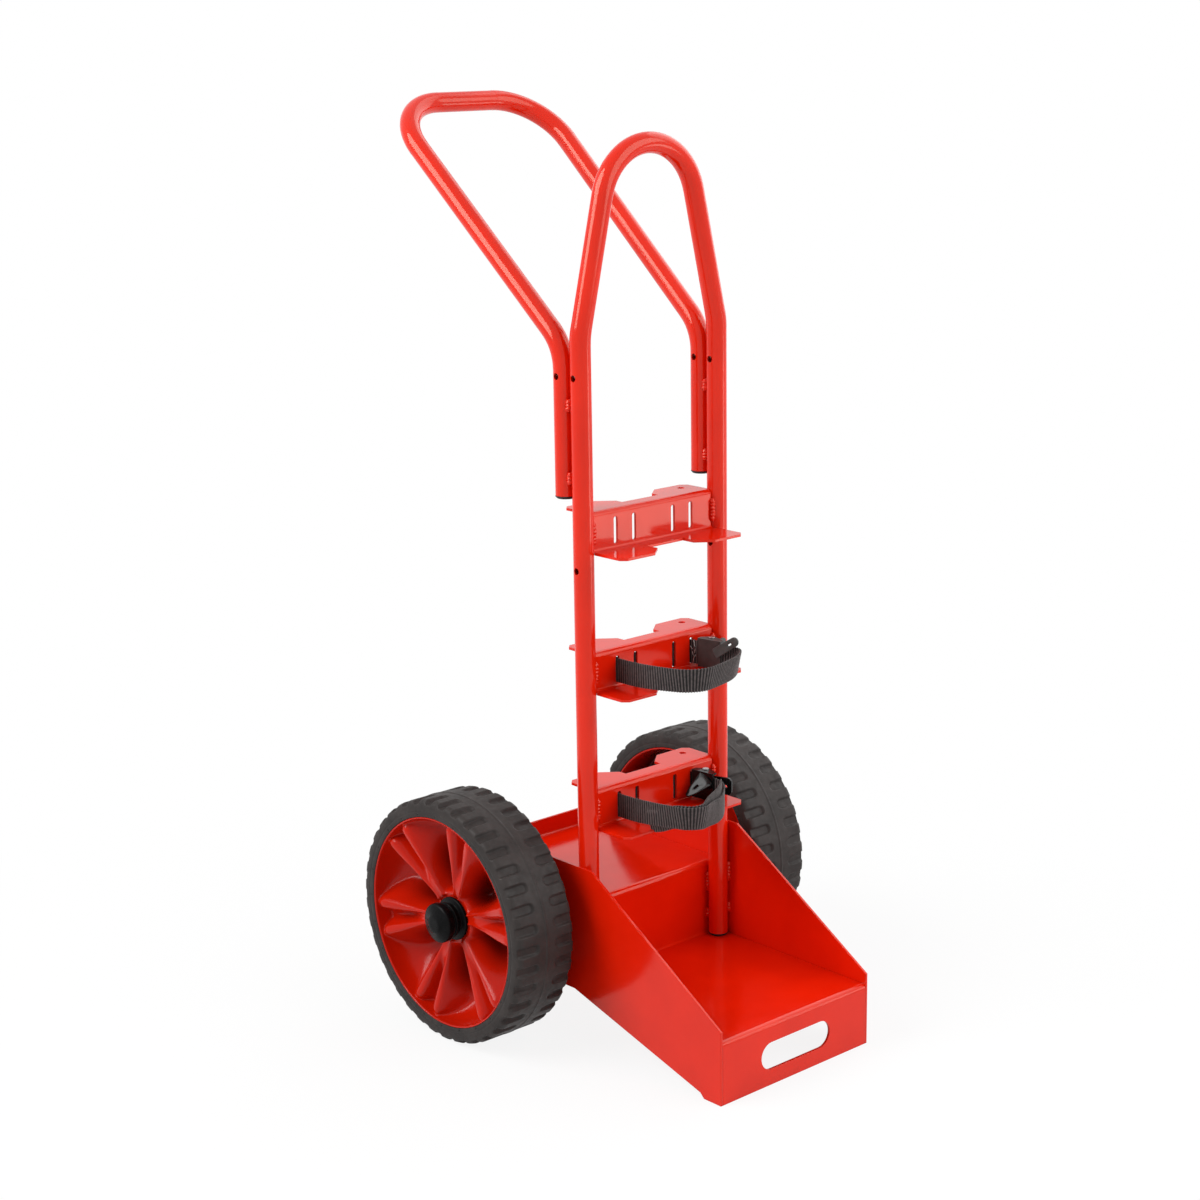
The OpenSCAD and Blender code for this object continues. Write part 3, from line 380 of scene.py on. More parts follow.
def spoke_height(r, turn):
    """Height of the moulding at a radius and at a turn away from a spoke's middle."""
    plain, crest = bowl_height(r), crest_height(r)
    beside = r * math.sin(turn - ridge_turn)
    past = max(abs(beside) - eased(r, *ridge_top_half), 0)
    if beside > 0:
        flank = crest + ridge_round - math.hypot(ridge_round, eased(r, *flank_slope) * past)
        made = higher(plain, flank, flank_blend)
    else:
        wall = crest + ridge_round - math.hypot(ridge_round, channel_slope * past)
        channel = crest - eased(r, *channel_depth)
        made = higher(max(channel, plain), wall, channel_blend)
    return plain + (made - plain) * eased(r, *spoke_share)


def in_metres(outline):
    return [(r * mm, z * mm) for r, z in outline]


def from_axle(point):
    """A wheel point's radius about the axle and its height over the wheel's middle."""
    return math.hypot(point.co.x, point.co.y) / mm, point.co.z / mm


def all_round(mesh, count, turn):
    """Repeats a sector of a wheel piece about its axle and turns the whole to its place."""
    sector = mesh.verts[:] + mesh.edges[:] + mesh.faces[:]
    bmesh.ops.spin(mesh, geom=sector, cent=(0, 0, 0), axis=(0, 0, 1), dvec=(0, 0, 0),
                   angle=math.tau * (count - 1) / count, steps=count - 1, use_duplicate=True)
    bmesh.ops.remove_doubles(mesh, verts=mesh.verts, dist=sector_seam)
    bmesh.ops.rotate(mesh, verts=mesh.verts, cent=(0, 0, 0), matrix=Matrix.Rotation(turn, 3, "Z"))


def to_wheel(mesh, way):
    """Puts a wheel piece, drawn about Z with its outer side up, at the left (-1) or right (1) wheel."""
    stand = Matrix.Translation(wheel_centre) @ Matrix.Rotation(math.pi / 2, 4, "Y")
    placed = mesh.copy()
    bmesh.ops.transform(placed, matrix=stand, verts=placed.verts)
    bmesh.ops.scale(placed, vec=(way, 1, 1), verts=placed.verts)
    return placed


def rim_mesh():
    """The rim, turned as one spoke's sector, pressed to its ridges and repeated round the hub."""
    foot, bowl = bowl_start_r - foot_start_r, bowl_end_r - bowl_start_r
    radii = [foot_start_r + foot * (i / foot_rows) ** foot_crowding for i in range(foot_rows)]
    radii += [bowl_start_r + bowl * math.sin(math.pi / 2 * i / bowl_rows) for i in range(bowl_rows + 1)]
    front = hub_face + [(r, bowl_height(r)) for r in radii]
    back_lip = [(r, -z) for r, z in reversed(lip_outside)]
    outline = in_metres(front + lip_inside + lip_outside + back_lip + rim_back)
    mesh = bmesh.new()
    for point in turned(mesh, outline, spoke_steps, closed=True, angle=spoke_pitch):
        r, z = from_axle(point)
        if spoke_inner_r < r <= bowl_end_r and abs(z - bowl_height(r)) < bowl_touch:
            turn = abs(math.atan2(point.co.y, point.co.x) - spoke_pitch / 2)
            point.co.z = spoke_height(r, turn) * mm
    all_round(mesh, spokes, rim_turn)
    # Painted shade kept on each point: deep in the bays near the hub, and high up behind the bowl.
    painted_shade = mesh.verts.layers.float.new("painted_shade")
    for point in mesh.verts:
        r, z = from_axle(point)
        if z < bowl_height(r) - behind_from:
            point[painted_shade] = eased(z, *behind_shade)
        else:
            deep = smooth_step(crest_height(r) - z, *bay_shade_depth)
            point[painted_shade] = deep * (1 - smooth_step(r, *bay_shade_reach))
    return mesh


def rounded(made):
    """Finishes a piece with a subdivision surface."""
    smooth = made.modifiers.new("rounding", "SUBSURF")
    smooth.levels = smooth.render_levels = 1


rim_deep, rim_bright = (0.46, 0.0085, 0.0006), (0.51, 0.0095, 0.0008)
# The colour that the painted shade multiplies the rim's tone by, at its deepest.
bay_shade_colour = (0.22, 0.18, 0.18)
mix_first, mix_second, mixed = 6, 7, 2


def red_moulding(name):
    """Glossy red plastic, slightly wavy where it shrank in the mould, with painted shade deep in the bays
    and behind the bowl.
    """
    material, tree, shader = finish(name, {"IOR": 1.36, "Specular IOR Level": 0.32})
    tone = shades(tree, patches(tree, 45 * mm, 3), (0.35, rim_deep), (0.7, rim_bright))
    painted_shade = tree.nodes.new("ShaderNodeAttribute")
    painted_shade.attribute_name = "painted_shade"
    # The rim's tone is multiplied down by the painted shade stored on its points.
    shaded_tone = tree.nodes.new("ShaderNodeMix")
    shaded_tone.data_type = "RGBA"
    shaded_tone.blend_type = "MULTIPLY"
    shaded_tone.inputs["Factor"].default_value = 1
    tree.links.new(tone, shaded_tone.inputs[mix_first])
    shade = shades(tree, painted_shade.outputs["Fac"], (0, (1, 1, 1)), (1, bay_shade_colour))
    tree.links.new(shade, shaded_tone.inputs[mix_second])
    lay_on(tree, shader, shaded_tone.outputs[mixed], spread(tree, patches(tree, 7 * mm, 4), 0.17, 0.23))
    relief(tree, shader, patches(tree, 18 * mm, 2), 0.08 * mm, 0.25)
    return material


rim_red = red_moulding("red rim plastic")
rim = rim_mesh()
for side, way in wheels:
    rounded(piece(f"{side}_rim_moulding", to_wheel(rim, way), rim_red,
                  f"{side}_wheel", "red_plastic", f"{side}_wheel_rim"))


# Tyres: solid rubber bands, moulded in one piece and stretched onto the rims.
# Finger-shaped gaps open at each shoulder, a fine line runs round the middle and vent pits round the side.
tyre_r, tread_r = 153.95, 153.4
tread_turn = math.radians(3.85)
tread_rows, tread_edge, line_edge = 26, 40.6, 2.4
shoulder_fall = (36, 41, tread_r, 151.9)
gaps, gap_steps = 38, 22
gap_w, gap_band, gap_edge = 11.5, 13.0, 1.2
gap_depth = (16, 42, 3.0, 5.4)
gap_top_r, gap_least_r, gap_margin = tyre_r - 0.6, 144, 2
vents, vent_ring_r = 24, 135.2
vent_r, vent_flat_r, vent_depth = 1.3, 0.52, 1.6
vent_wall, vent_outer_r = 43.4, 137
tyre_side = [(130.3, 0), (130.3, 20), (130.3, 39), (130.6, 39.7), (131.9, 39.7), (132.4, 40.4),
             (132.4, 42.7), (132.7, 43.4), (133.3, 43.7), (134.2, 43.8), (134.8, 43.9), (135.6, 43.9),
             (136.4, 44), (138.4, 44), (138.9, 43.7), (139.4, 44), (141.5, 44), (143.5, 43.9),
             (145.4, 43.7), (147.2, 43.3), (148.8, 42.8), (150.2, 42.2), (151.2, 41.4)]
middle_line = [(tread_r, 2.2), (153.5, 1.5), (153.9, 1.2), (tyre_r, 0.6)]


def tyre_half():
    """One half of the tyre's section, from its seat round the side wall to the middle line."""
    rows = [tread_edge - (tread_edge - line_edge) * i / tread_rows for i in range(1, tread_rows)]
    return tyre_side + [(eased(z, *shoulder_fall), z) for z in rows] + middle_line


def press_gap(point, pitch):
    """Sinks a point of the tread where it lies in a gap."""
    r, z = from_axle(point)
    if r < gap_least_r or abs(z) < gap_band - gap_margin:
        return
    turn = math.atan2(point.co.y, point.co.x) / pitch
    aside = abs((turn + 0.5) % 1 - 0.5) * pitch * tyre_r
    to_end = max(gap_band + gap_w / 2 - abs(z), 0)
    inside = gap_w / 2 - math.hypot(aside, to_end)
    above_floor = max(r - (gap_top_r - eased(abs(z), *gap_depth)), 0)
    point.co.xy *= 1 - above_floor * smooth_step(inside, -gap_edge / 2, gap_edge / 2) / r


def press_vent(point):
    """Sinks a point of the side wall where it lies in a vent pit."""
    r, z = from_axle(point)
    if abs(z) < vent_wall or r > vent_outer_r:
        return
    turn = math.atan2(point.co.y, point.co.x) * vents / math.tau
    off = math.hypot((turn - round(turn)) * math.tau * r / vents, r - vent_ring_r)
    point.co.z -= math.copysign(vent_depth * mm * (1 - smooth_step(off, vent_flat_r, vent_r)), z)


def tyre_mesh():
    """The tyre, turned as one gap's sector and repeated round the rim."""
    half = tyre_half()
    outline = in_metres(half + [(tyre_r, 0)] + [(r, -z) for r, z in reversed(half[1:])])
    mesh = bmesh.new()
    pitch = math.tau / gaps
    for point in turned(mesh, outline, gap_steps, closed=True, angle=pitch):
        press_gap(point, pitch)
    all_round(mesh, gaps, tread_turn)
    for point in mesh.verts:
        press_vent(point)
    return mesh


rubber_dark, rubber_dusty = (0.016, 0.0125, 0.0115), (0.034, 0.027, 0.025)


def black_rubber(name):
    """Dull black rubber, greyer where dust and mould release stay on it."""
    material, tree, shader = finish(name, {"IOR": 1.45, "Specular IOR Level": 0.3})
    tone = shades(tree, patches(tree, 26 * mm, 6), (0.3, rubber_dark), (0.75, rubber_dusty))
    lay_on(tree, shader, tone, spread(tree, patches(tree, 6 * mm, 4), 0.5, 0.68))
    relief(tree, shader, patches(tree, 0.9 * mm, 3), 0.08 * mm, 0.5)
    relief(tree, shader, patches(tree, 9 * mm, 2), 0.3 * mm, 0.3)
    return material


rubber = black_rubber("tyre rubber")
tread = tyre_mesh()
for side, way in wheels:
    piece(f"{side}_tread", to_wheel(tread, way), rubber, f"{side}_wheel", "tyre_rubber", f"{side}_tyre")


# Bushes and hub caps: a pale plain bearing pressed into each hub, and a black cap over the axle's end.
# The caps are smooth mouldings with a coned face, two grooves to pull them off by and a wide foot.
bush_dull, bush_pale = (0.60, 0.57, 0.47), (0.70, 0.67, 0.58)
bush_plastic, tree, shader = finish("bush plastic", {"IOR": 1.5, "Subsurface Weight": 0.05})
tone = shades(tree, patches(tree, 8 * mm, 4), (0.3, bush_dull), (0.7, bush_pale))
lay_on(tree, shader, tone, spread(tree, patches(tree, 3 * mm, 3), 0.4, 0.55))
relief(tree, shader, patches(tree, 0.7 * mm, 1, (1, 0.05, 0.05)), 0.03 * mm, 0.5)
dress(bush_plastic, "left_wheel_bush", "right_wheel_bush")

cap_dark, cap_light = (0.003, 0.0031, 0.0033), (0.006, 0.0062, 0.0066)
cap_rough, cap_edge_r, cap_shine = 0.26, 0.4 * mm, 0.06
cap_steps = 96
cap_face = [(0, 51.7), (6, 51.7), (10.2, 51.7), (11, 51.4), (11.4, 51.1), (17, 49.1), (22.4, 47.2),
            (23.8, 46.4), (24.6, 45.2), (24.7, 43.5)]
cap_grooves = [(24.7, 39), (24.4, 38.1), (23.6, 37.8), (21, 37.6), (20.6, 37.2), (20.6, 33.4), (21, 33),
               (22.6, 32.8), (23.1, 32.3), (23.1, 30.4), (22.6, 29.9), (20.4, 29.7), (20, 29.2), (20, 24.2)]
cap_foot = [(20.4, 23.7), (26, 23.3), (26.9, 22.8), (27.1, 22), (27.1, 20), (26.7, 19.2), (26, 18.9)]
cap_bore = [(18, 18.8), (10.7, 18.8), (10.4, 19.2), (10.4, 42), (9.6, 43.6), (0, 44)]
cap_black = moulding("cap plastic", cap_dark, cap_light, cap_rough, cap_edge_r, cap_shine)
cap = bmesh.new()
turned(cap, in_metres(cap_face + cap_grooves + cap_foot + cap_bore), cap_steps)
for side, way in wheels:
    piece(f"{side}_cap_moulding", to_wheel(cap, way), cap_black, "chassis", "black_plastic",
          f"{side}_hub_cap")


# Straps: ribbed grey webbing, each one loop through the outer slots of a crossbar.
# The polyester is woven with cross ribs and bound edges, and one arm is sewn with pale thread.
strap_half, strap_t = 15 * mm, 2 * mm
strap_step, least_steps = 0.62 * mm, 4
section_points, flat_cuts, webbing_seam = 12, 5, 0.05 * mm
rib_pitch, rib_h = 3.8 * mm, 0.75 * mm
slot_x, slot_drop, strap_forward = 61.5 * mm, 27.2 * mm, 30 * mm
strap_turn_r, strap_back_y = 3 * mm, 1.5 * mm
strap_start_y = strap_back_y - strap_turn_r
strap_end_heading = math.radians(540)
strap_lean = math.radians(13)

# Where the lean, the lift and the droop come in and fade out, as shares of a loop's free length.
lean_in, lean_fade = (0.08, 0.36), 0.2
lift_in, lift_out = (0.03, 0.4), (0.48, 0.76)
droop_in, droop_out = (0.36, 0.62), (0.68, 0.9)

# The loose end lies inside the loop, starts a little way along its first bend and sags at its tip.
tail_inside, tail_skip = 3.4 * mm, math.radians(2.4)
tail_lean_out = (0.3, 0.6)
tail_rise, tail_sag = (0, 0.3, -8 * mm, 8 * mm), (0.5, 0.9, 0, 4 * mm)


def left_of(heading):
    """The level direction to the left of a heading, which is the inner side of a loop."""
    return Vector((-math.sin(heading), math.cos(heading), 0))


def strap_moves(headings, radii):
    """A loop's runs and turns as (length, radius, turn), from its first slot round to it again."""
    turns = [math.radians(heading) for heading in headings]
    arcs = [(r * mm, a, b) for r, a, b in zip(radii, turns, turns[1:])]
    bends = [(0, r, b - a) for r, a, b in arcs]
    dx = 2 * slot_x - sum(r * (math.sin(b) - math.sin(a)) for r, a, b in arcs)
    dy = strap_forward - sum(r * (math.cos(a) - math.cos(b)) for r, a, b in arcs)
    out, back = turns[2], turns[4]
    front_run = (dx * math.sin(back) - dy * math.cos(back)) / math.sin(back - out)
    arm_run = (dy * math.cos(out) - dx * math.sin(out)) / math.sin(back - out)
    turn_x = strap_turn_r * (math.sin(strap_end_heading) - math.sin(back))
    turn_y = strap_turn_r * (math.cos(back) - math.cos(strap_end_heading))
    arm_extra = (strap_back_y - turn_y - strap_start_y) / math.sin(back)
    back_run = 2 * slot_x - strap_turn_r + turn_x + arm_extra * math.cos(back)
    return [(strap_forward, 0, 0), bends[0], bends[1], (front_run, 0, 0), bends[2], bends[3],
            (arm_run + arm_extra, 0, 0), (0, strap_turn_r, strap_end_heading - back), (back_run, 0, 0),
            (0, strap_turn_r, math.pi / 2)]


def webbing_section(mesh, start, heading):
    """The webbing's flat section with round edges, set upright across a heading."""
    ring = bmesh.ops.create_circle(mesh, segments=section_points, radius=strap_t / 2)["verts"]
    bmesh.ops.rotate(mesh, verts=ring, cent=(0, 0, 0), matrix=Matrix.Rotation(math.pi / 2, 3, "X"))
    for point in ring:
        point.co.z += math.copysign(strap_half - strap_t / 2, point.co.z)
    flats = [edge for edge in mesh.edges if edge.calc_length() > strap_half]
    bmesh.ops.subdivide_edges(mesh, edges=flats, cuts=flat_cuts)
    across = Matrix.Rotation(heading + math.pi / 2, 3, "Z")
    bmesh.ops.rotate(mesh, verts=mesh.verts, cent=(0, 0, 0), matrix=across)
    bmesh.ops.translate(mesh, verts=mesh.verts, vec=start)


def lay_webbing(mesh, start, heading, moves):
    """Sweeps the section through runs and turns, and gives back each point with its heading."""
    run = mesh.verts.layers.float.new("run")
    webbing_section(mesh, start, heading)
    ring = len(mesh.verts)
    last = list(mesh.verts) + list(mesh.edges)
    laid, here, gone = [(point, heading) for point in mesh.verts], start, 0
    for length, radius, turn in moves:
        length = length or radius * turn
        steps = max(round(length / strap_step), least_steps)
        ahead = Vector((math.cos(heading), math.sin(heading), 0))
        centre = here + left_of(heading) * radius
        before = len(mesh.verts)
        last = bmesh.ops.spin(mesh, geom=last, cent=centre, axis=(0, 0, 1), angle=turn, steps=steps,
                              dvec=ahead * (0 if turn else length / steps))["geom_last"]
        mesh.verts.ensure_lookup_table()
        for i, point in enumerate(mesh.verts[before:]):
            share = (i // ring + 1) / steps
            point[run] = gone + share * length
            laid.append((point, heading + share * turn))
        heading += turn
        gone += length
        if turn:
            here = centre - left_of(heading) * radius
        else:
            here = here + ahead * length
    return laid, gone


def lean_over(point, heading, lean, height):
    """Leans a point of the webbing towards the loop's inner side."""
    point.co += left_of(heading) * lean * math.tan(strap_lean) * (height - point.co.z)


def rib_over(mesh, pitch_fit):
    """Closes the webbing and raises its cross ribs."""
    run = mesh.verts.layers.float["run"]
    bmesh.ops.remove_doubles(mesh, verts=mesh.verts, dist=webbing_seam)
    bmesh.ops.holes_fill(mesh, edges=[edge for edge in mesh.edges if edge.is_boundary], sides=0)
    bmesh.ops.recalc_face_normals(mesh, faces=mesh.faces)
    mesh.normal_update()
    for point in mesh.verts:
        point[run] *= pitch_fit
        point.co += point.normal * rib_h / 2 * math.cos(math.tau * point[run] / rib_pitch)
    return mesh


def strap_mesh(headings, radii, height, lift, droop, lean_end):
    """A loop of webbing whose belly leans inward and rises, and whose right end may droop."""
    mesh = bmesh.new()
    moves = strap_moves(headings, radii)
    start = Vector((-slot_x, leg_y + strap_start_y, height))
    laid, gone = lay_webbing(mesh, start, math.radians(headings[0]), moves)
    run = mesh.verts.layers.float["run"]
    back_run = moves[-2][0]
    for point, heading in laid:
        share = point[run] / (gone - back_run)
        lean = smooth_step(share, *lean_in) - smooth_step(share, lean_end - lean_fade, lean_end)
        lean_over(point, heading, lean, height)
        point.co.z += lift * (smooth_step(share, *lift_in) - smooth_step(share, *lift_out))
        point.co.z -= droop * (smooth_step(share, *droop_in) - smooth_step(share, *droop_out))
    return rib_over(mesh, round(gone / rib_pitch) * rib_pitch / gone)


def inner_bend(bend, skip=0):
    """A loop's bend as the loose end takes it, tighter and perhaps begun later."""
    length, radius, turn = bend
    return (length, radius - tail_inside, turn - skip)


def tail_mesh(headings, radii, height):
    """The loose end of a strap, lying inside its loop."""
    mesh = bmesh.new()
    first, second, front, third = strap_moves(headings, radii)[1:5]
    start_y = leg_y + strap_start_y - strap_forward - first[1] * tail_skip
    start = Vector((-slot_x + tail_inside, start_y, height))
    moves = [inner_bend(first, tail_skip), inner_bend(second), front, inner_bend(third)]
    laid, gone = lay_webbing(mesh, start, math.radians(headings[0]) + tail_skip, moves)
    run = mesh.verts.layers.float["run"]
    for point, heading in laid:
        share = point[run] / gone
        lean_over(point, heading, 1 - smooth_step(share, *tail_lean_out), height)
        point.co.z += eased(share, *tail_rise) - eased(share, *tail_sag)
    return rib_over(mesh, 1)


def reckon(tree, operation, first, second=0.0):
    """One number worked out from a socket and a second socket or fixed number."""
    made = tree.nodes.new("ShaderNodeMath")
    made.operation = operation
    tree.links.new(first, made.inputs[0])
    if isinstance(second, float):
        made.inputs[1].default_value = second
    else:
        tree.links.new(second, made.inputs[1])
    return made.outputs["Value"]


def waves(tree, value, pitch):
    """Even waves of one pitch along a value, from 0 to 1."""
    wave = reckon(tree, "SINE", reckon(tree, "MULTIPLY", value, math.tau / pitch))
    return spread(tree, wave, 0, 1, -1, 1)


# Painted rib shading: a shaded colour for the rib valleys and a lit one for the crests.
webbing_shaded, webbing_lit = (0.0052, 0.0046, 0.0046), (0.098, 0.081, 0.079)
yarn_pitch, yarn_depth = 1.1 * mm, 0.18 * mm
webbing_sockets = {"IOR": 1.45, "Specular IOR Level": 0.25, "Sheen Weight": 0.25, "Sheen Roughness": 0.4}


def woven_grey(name):
    """Grey webbing: a painted highlight on the rib crests, painted shade in the valleys, and warp yarns
    along its length.
    """
    material, tree, shader = finish(name, webbing_sockets)
    run = tree.nodes.new("ShaderNodeAttribute")
    run.attribute_name = "run"
    along = run.outputs["Fac"]
    place = tree.nodes.new("ShaderNodeTexCoord")
    apart = tree.nodes.new("ShaderNodeSeparateXYZ")
    tree.links.new(place.outputs["Object"], apart.inputs["Vector"])
    warp = waves(tree, apart.outputs["Z"], yarn_pitch)
    weave = reckon(tree, "MULTIPLY", warp, waves(tree, along, rib_pitch / 3))
    # Painted highlight on the raised rib crests and painted shade in their valleys, varied at random in
    # patches.
    crests = waves(tree, reckon(tree, "ADD", along, rib_pitch / 4), rib_pitch)
    painted_rib_shade = reckon(tree, "MULTIPLY", crests, spread(tree, patches(tree, 3 * mm, 5), 0.55, 1.1))
    tone = shades(tree, painted_rib_shade, (0.2, webbing_shaded), (0.82, webbing_lit))
    lay_on(tree, shader, tone, spread(tree, patches(tree, 2 * mm, 3), 0.6, 0.8))
    relief(tree, shader, weave, yarn_depth, 0.7)
    return material


webbing_grey = woven_grey("grey webbing")
upper_bends = ([270, 285, 372, 402, 460], [250, 32, 150, 22])
upper_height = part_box("middle_crossbar")[1].z - slot_drop
upper_lift, upper_droop, upper_lean_end = 4.5 * mm, 0, 0.85
upper_loop = strap_mesh(*upper_bends, upper_height, upper_lift, upper_droop, upper_lean_end)
piece("upper_webbing", upper_loop, webbing_grey, "chassis", "webbing", "upper_strap")

lower_bends = ([270, 278, 390, 404, 455], [520, 20, 210, 20])
lower_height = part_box("lower_crossbar")[1].z - slot_drop
lower_lift, lower_droop, lower_lean_end = 7 * mm, 8 * mm, 0.58
lower_loop = strap_mesh(*lower_bends, lower_height, lower_lift, lower_droop, lower_lean_end)
piece("lower_webbing", lower_loop, webbing_grey, "chassis", "webbing", "lower_strap")
piece("lower_tail", tail_mesh(*lower_bends, lower_height), webbing_grey, "chassis", "webbing")

thread_dull, thread_pale = (0.32, 0.31, 0.30), (0.62, 0.61, 0.59)
thread, tree, shader = finish("sewing thread", {"IOR": 1.45, "Sheen Weight": 0.3})
tone = shades(tree, patches(tree, 1.5 * mm, 3), (0.3, thread_dull), (0.7, thread_pale))
lay_on(tree, shader, tone, spread(tree, patches(tree, 2 * mm, 2), 0.5, 0.8))
relief(tree, shader, patches(tree, 0.4 * mm, 2), 0.1 * mm, 0.6)

stitch_rows, stitch_row_pitch = 8, 3.5 * mm
stitch_l, stitch_r, stitch_half_steps, stitch_turns = 6 * mm, 0.45 * mm, 4, 8
stitch_off = 1.8 * mm
sewn_heading = math.radians(280)
sewn_from = Vector((slot_x, leg_y - 3 * mm, 452 * mm))
sewn_way = Vector((math.cos(sewn_heading), math.sin(sewn_heading), 0))
sewing_hand = random.Random(4)
stitches = bmesh.new()
for row in range(stitch_rows):
    outline = []
    for i in range(-stitch_half_steps, stitch_half_steps + 1):
        share = i / stitch_half_steps
        height = share / 2 * stitch_l * sewing_hand.uniform(0.95, 1.1)
        outline.append((stitch_r * math.sqrt(1 - share * share), height))
    outline.sort(key=lambda spot: spot[1])
    sewn = turned(stitches, outline, stitch_turns)
    lie = Matrix.Rotation(sewing_hand.uniform(-0.7, 0.9), 3, sewn_way.cross(Vector((0, 0, 1))))
    bmesh.ops.rotate(stitches, verts=sewn, cent=(0, 0, 0), matrix=lie)
    along = sewn_way * sewing_hand.uniform(1, 7) * mm
    off = -left_of(sewn_heading) * stitch_off + Vector((0, 0, row * stitch_row_pitch))
    bmesh.ops.translate(stitches, verts=sewn, vec=sewn_from + along + off)
piece("upper_stitches", stitches, thread, "chassis", "webbing")


# Cam buckles: a bent black body on each strap's return arm, with a steel pin and a toothed lever.
# Bodies and the folded lever are lacquered black, the open lever and its finger plate are grey nylon.
lacquer_edge_r = 0.5 * mm
satin_dark, satin_light, satin_rough = (0.022, 0.018, 0.017), (0.036, 0.030, 0.028), 0.42
gloss_dark, gloss_light, gloss_rough = (0.003, 0.003, 0.0032), (0.006, 0.006, 0.006), 0.1
gloss_shine = 0.2
nylon_dark, nylon_light = (0.055, 0.056, 0.054), (0.085, 0.086, 0.083)
nylon_rough, nylon_edge_r = 0.42, 0.5 * mm


def lacquer(name, dark, light, rough, shine=0.5):
    """Black lacquer on bent steel, thicker here and there."""
    material, tree, shader = finish(name, {"IOR": 1.5, "Specular IOR Level": shine})
    soft_edges(tree, shader, lacquer_edge_r)
    tone = shades(tree, patches(tree, 11 * mm, 3), (0.35, dark), (0.7, light))
    lay_on(tree, shader, tone, spread(tree, patches(tree, 6 * mm, 3), rough, rough + 0.1))
    relief(tree, shader, patches(tree, 7 * mm, 2), 0.12 * mm, 0.4)
    return material


dress(lacquer("satin lacquer", satin_dark, satin_light, satin_rough), "upper_buckle_body")
gloss_black = lacquer("gloss lacquer", gloss_dark, gloss_light, gloss_rough, gloss_shine)
dress(gloss_black, "lower_buckle_body", "lower_cam_lever")
dress(bright_steel("pin steel"), "upper_buckle_pin", "lower_buckle_pin")
lever_grey = moulding("lever nylon", nylon_dark, nylon_light, nylon_rough, nylon_edge_r)
dress(lever_grey, "upper_cam_lever")

plate_t, plate_edge_r, plate_points = 2.6 * mm, 0.7 * mm, 48
sharp_turn = 1

# Plates and their eye as length, width, share of the blunt end's round and draft of the sides.
upper_plate, upper_eye_at = (40 * mm, 13 * mm, 0.3, 0.1), 24 * mm
lower_plate, lower_eye_at = (33 * mm, 26 * mm, 0.2, 0.6), 14 * mm
plate_eye = (5 * mm, 2.2 * mm, 1, 0)
upper_root = Vector((63.9 * mm, leg_y - 44 * mm, 469 * mm))
upper_tip = Vector((69.2 * mm, leg_y - 77 * mm, 490.8 * mm))
upper_side = Vector((0, 0, 1))
lower_root = Vector((60.5 * mm, leg_y - 30 * mm, 305 * mm))
lower_tip = Vector((40 * mm, leg_y - 16 * mm, 284 * mm))
lower_side = Vector((0, -1, -0.3))


def plate_outline(mesh, length, width, blunt, draft):
    """A closed loop of edges with one round end, at +X, one blunt end, and sides that draw in."""
    ring = bmesh.ops.create_circle(mesh, segments=plate_points, radius=width / 2)["verts"]
    for point in ring:
        point.co.x = point.co.x * blunt if point.co.x < 0 else point.co.x + length - width / 2
        point.co.y *= 1 - draft * smooth_step(point.co.x, 0, length)
    return [edge for edge in mesh.edges if edge.verts[0] in ring]


def finger_plate(outline, eye_at, root, tip, side):
    """A thin plate with soft edges and an eye, from its root towards its tip, broad along its side."""
    plate = bmesh.new()
    outer = plate_outline(plate, *outline)
    inner = plate_outline(plate, *plate_eye)
    eye = list({point for edge in inner for point in edge.verts})
    bmesh.ops.translate(plate, verts=eye, vec=(eye_at, 0, 0))
    bmesh.ops.bridge_loops(plate, edges=outer + inner)
    bmesh.ops.solidify(plate, geom=plate.faces[:], thickness=plate_t)
    bmesh.ops.recalc_face_normals(plate, faces=plate.faces)
    corners = [edge for edge in plate.edges if edge.calc_face_angle(0) > sharp_turn]
    bmesh.ops.bevel(plate, geom=corners, offset=plate_edge_r, segments=3, profile=0.5,
                    affect="EDGES", material=-1)
    ahead = (tip - root).normalized()
    face = ahead.cross(side).normalized()
    stand = Matrix((ahead, face.cross(ahead), face)).transposed().to_4x4()
    bmesh.ops.transform(plate, matrix=Matrix.Translation(root) @ stand, verts=plate.verts)
    return plate


piece("upper_finger_plate", finger_plate(upper_plate, upper_eye_at, upper_root, upper_tip, upper_side),
      lever_grey, "chassis", "lever_grey")
piece("lower_finger_plate", finger_plate(lower_plate, lower_eye_at, lower_root, lower_tip, lower_side),
      gloss_black, "chassis", "buckle_black")


# Studio: a pale floor under a white sky, three large soft lamps at the front, left and right,
# and a small low one that the upper crossbar mirrors. Camera and mirrored rays see sky and floor as white,
# and the floor keeps a faint shadow round the wheels.
floor_half, floor_grey = 6.0, (0.85, 0.85, 0.85, 1)
shadow_r, white_r, shadow_share = 0.35, 1.1, 0.88
sky_fill, sky_seen = 0.32, 1.0
floor_sheet = bmesh.new()
bmesh.ops.create_grid(floor_sheet, x_segments=2, y_segments=2, size=floor_half)
floor_data = bpy.data.meshes.new("floor")
floor_sheet.to_mesh(floor_data)
floor_sheet.free()
floor = bpy.data.objects.new("floor", floor_data)
bpy.context.scene.collection.objects.link(floor)


def seen_directly(tree):
    """1 for rays from the camera, a mirror or a glass, 0 for other light."""
    path = tree.nodes.new("ShaderNodeLightPath")
    mirrored = reckon(tree, "MAXIMUM", path.outputs["Is Camera Ray"], path.outputs["Is Glossy Ray"])
    return reckon(tree, "MAXIMUM", mirrored, path.outputs["Is Transmission Ray"])


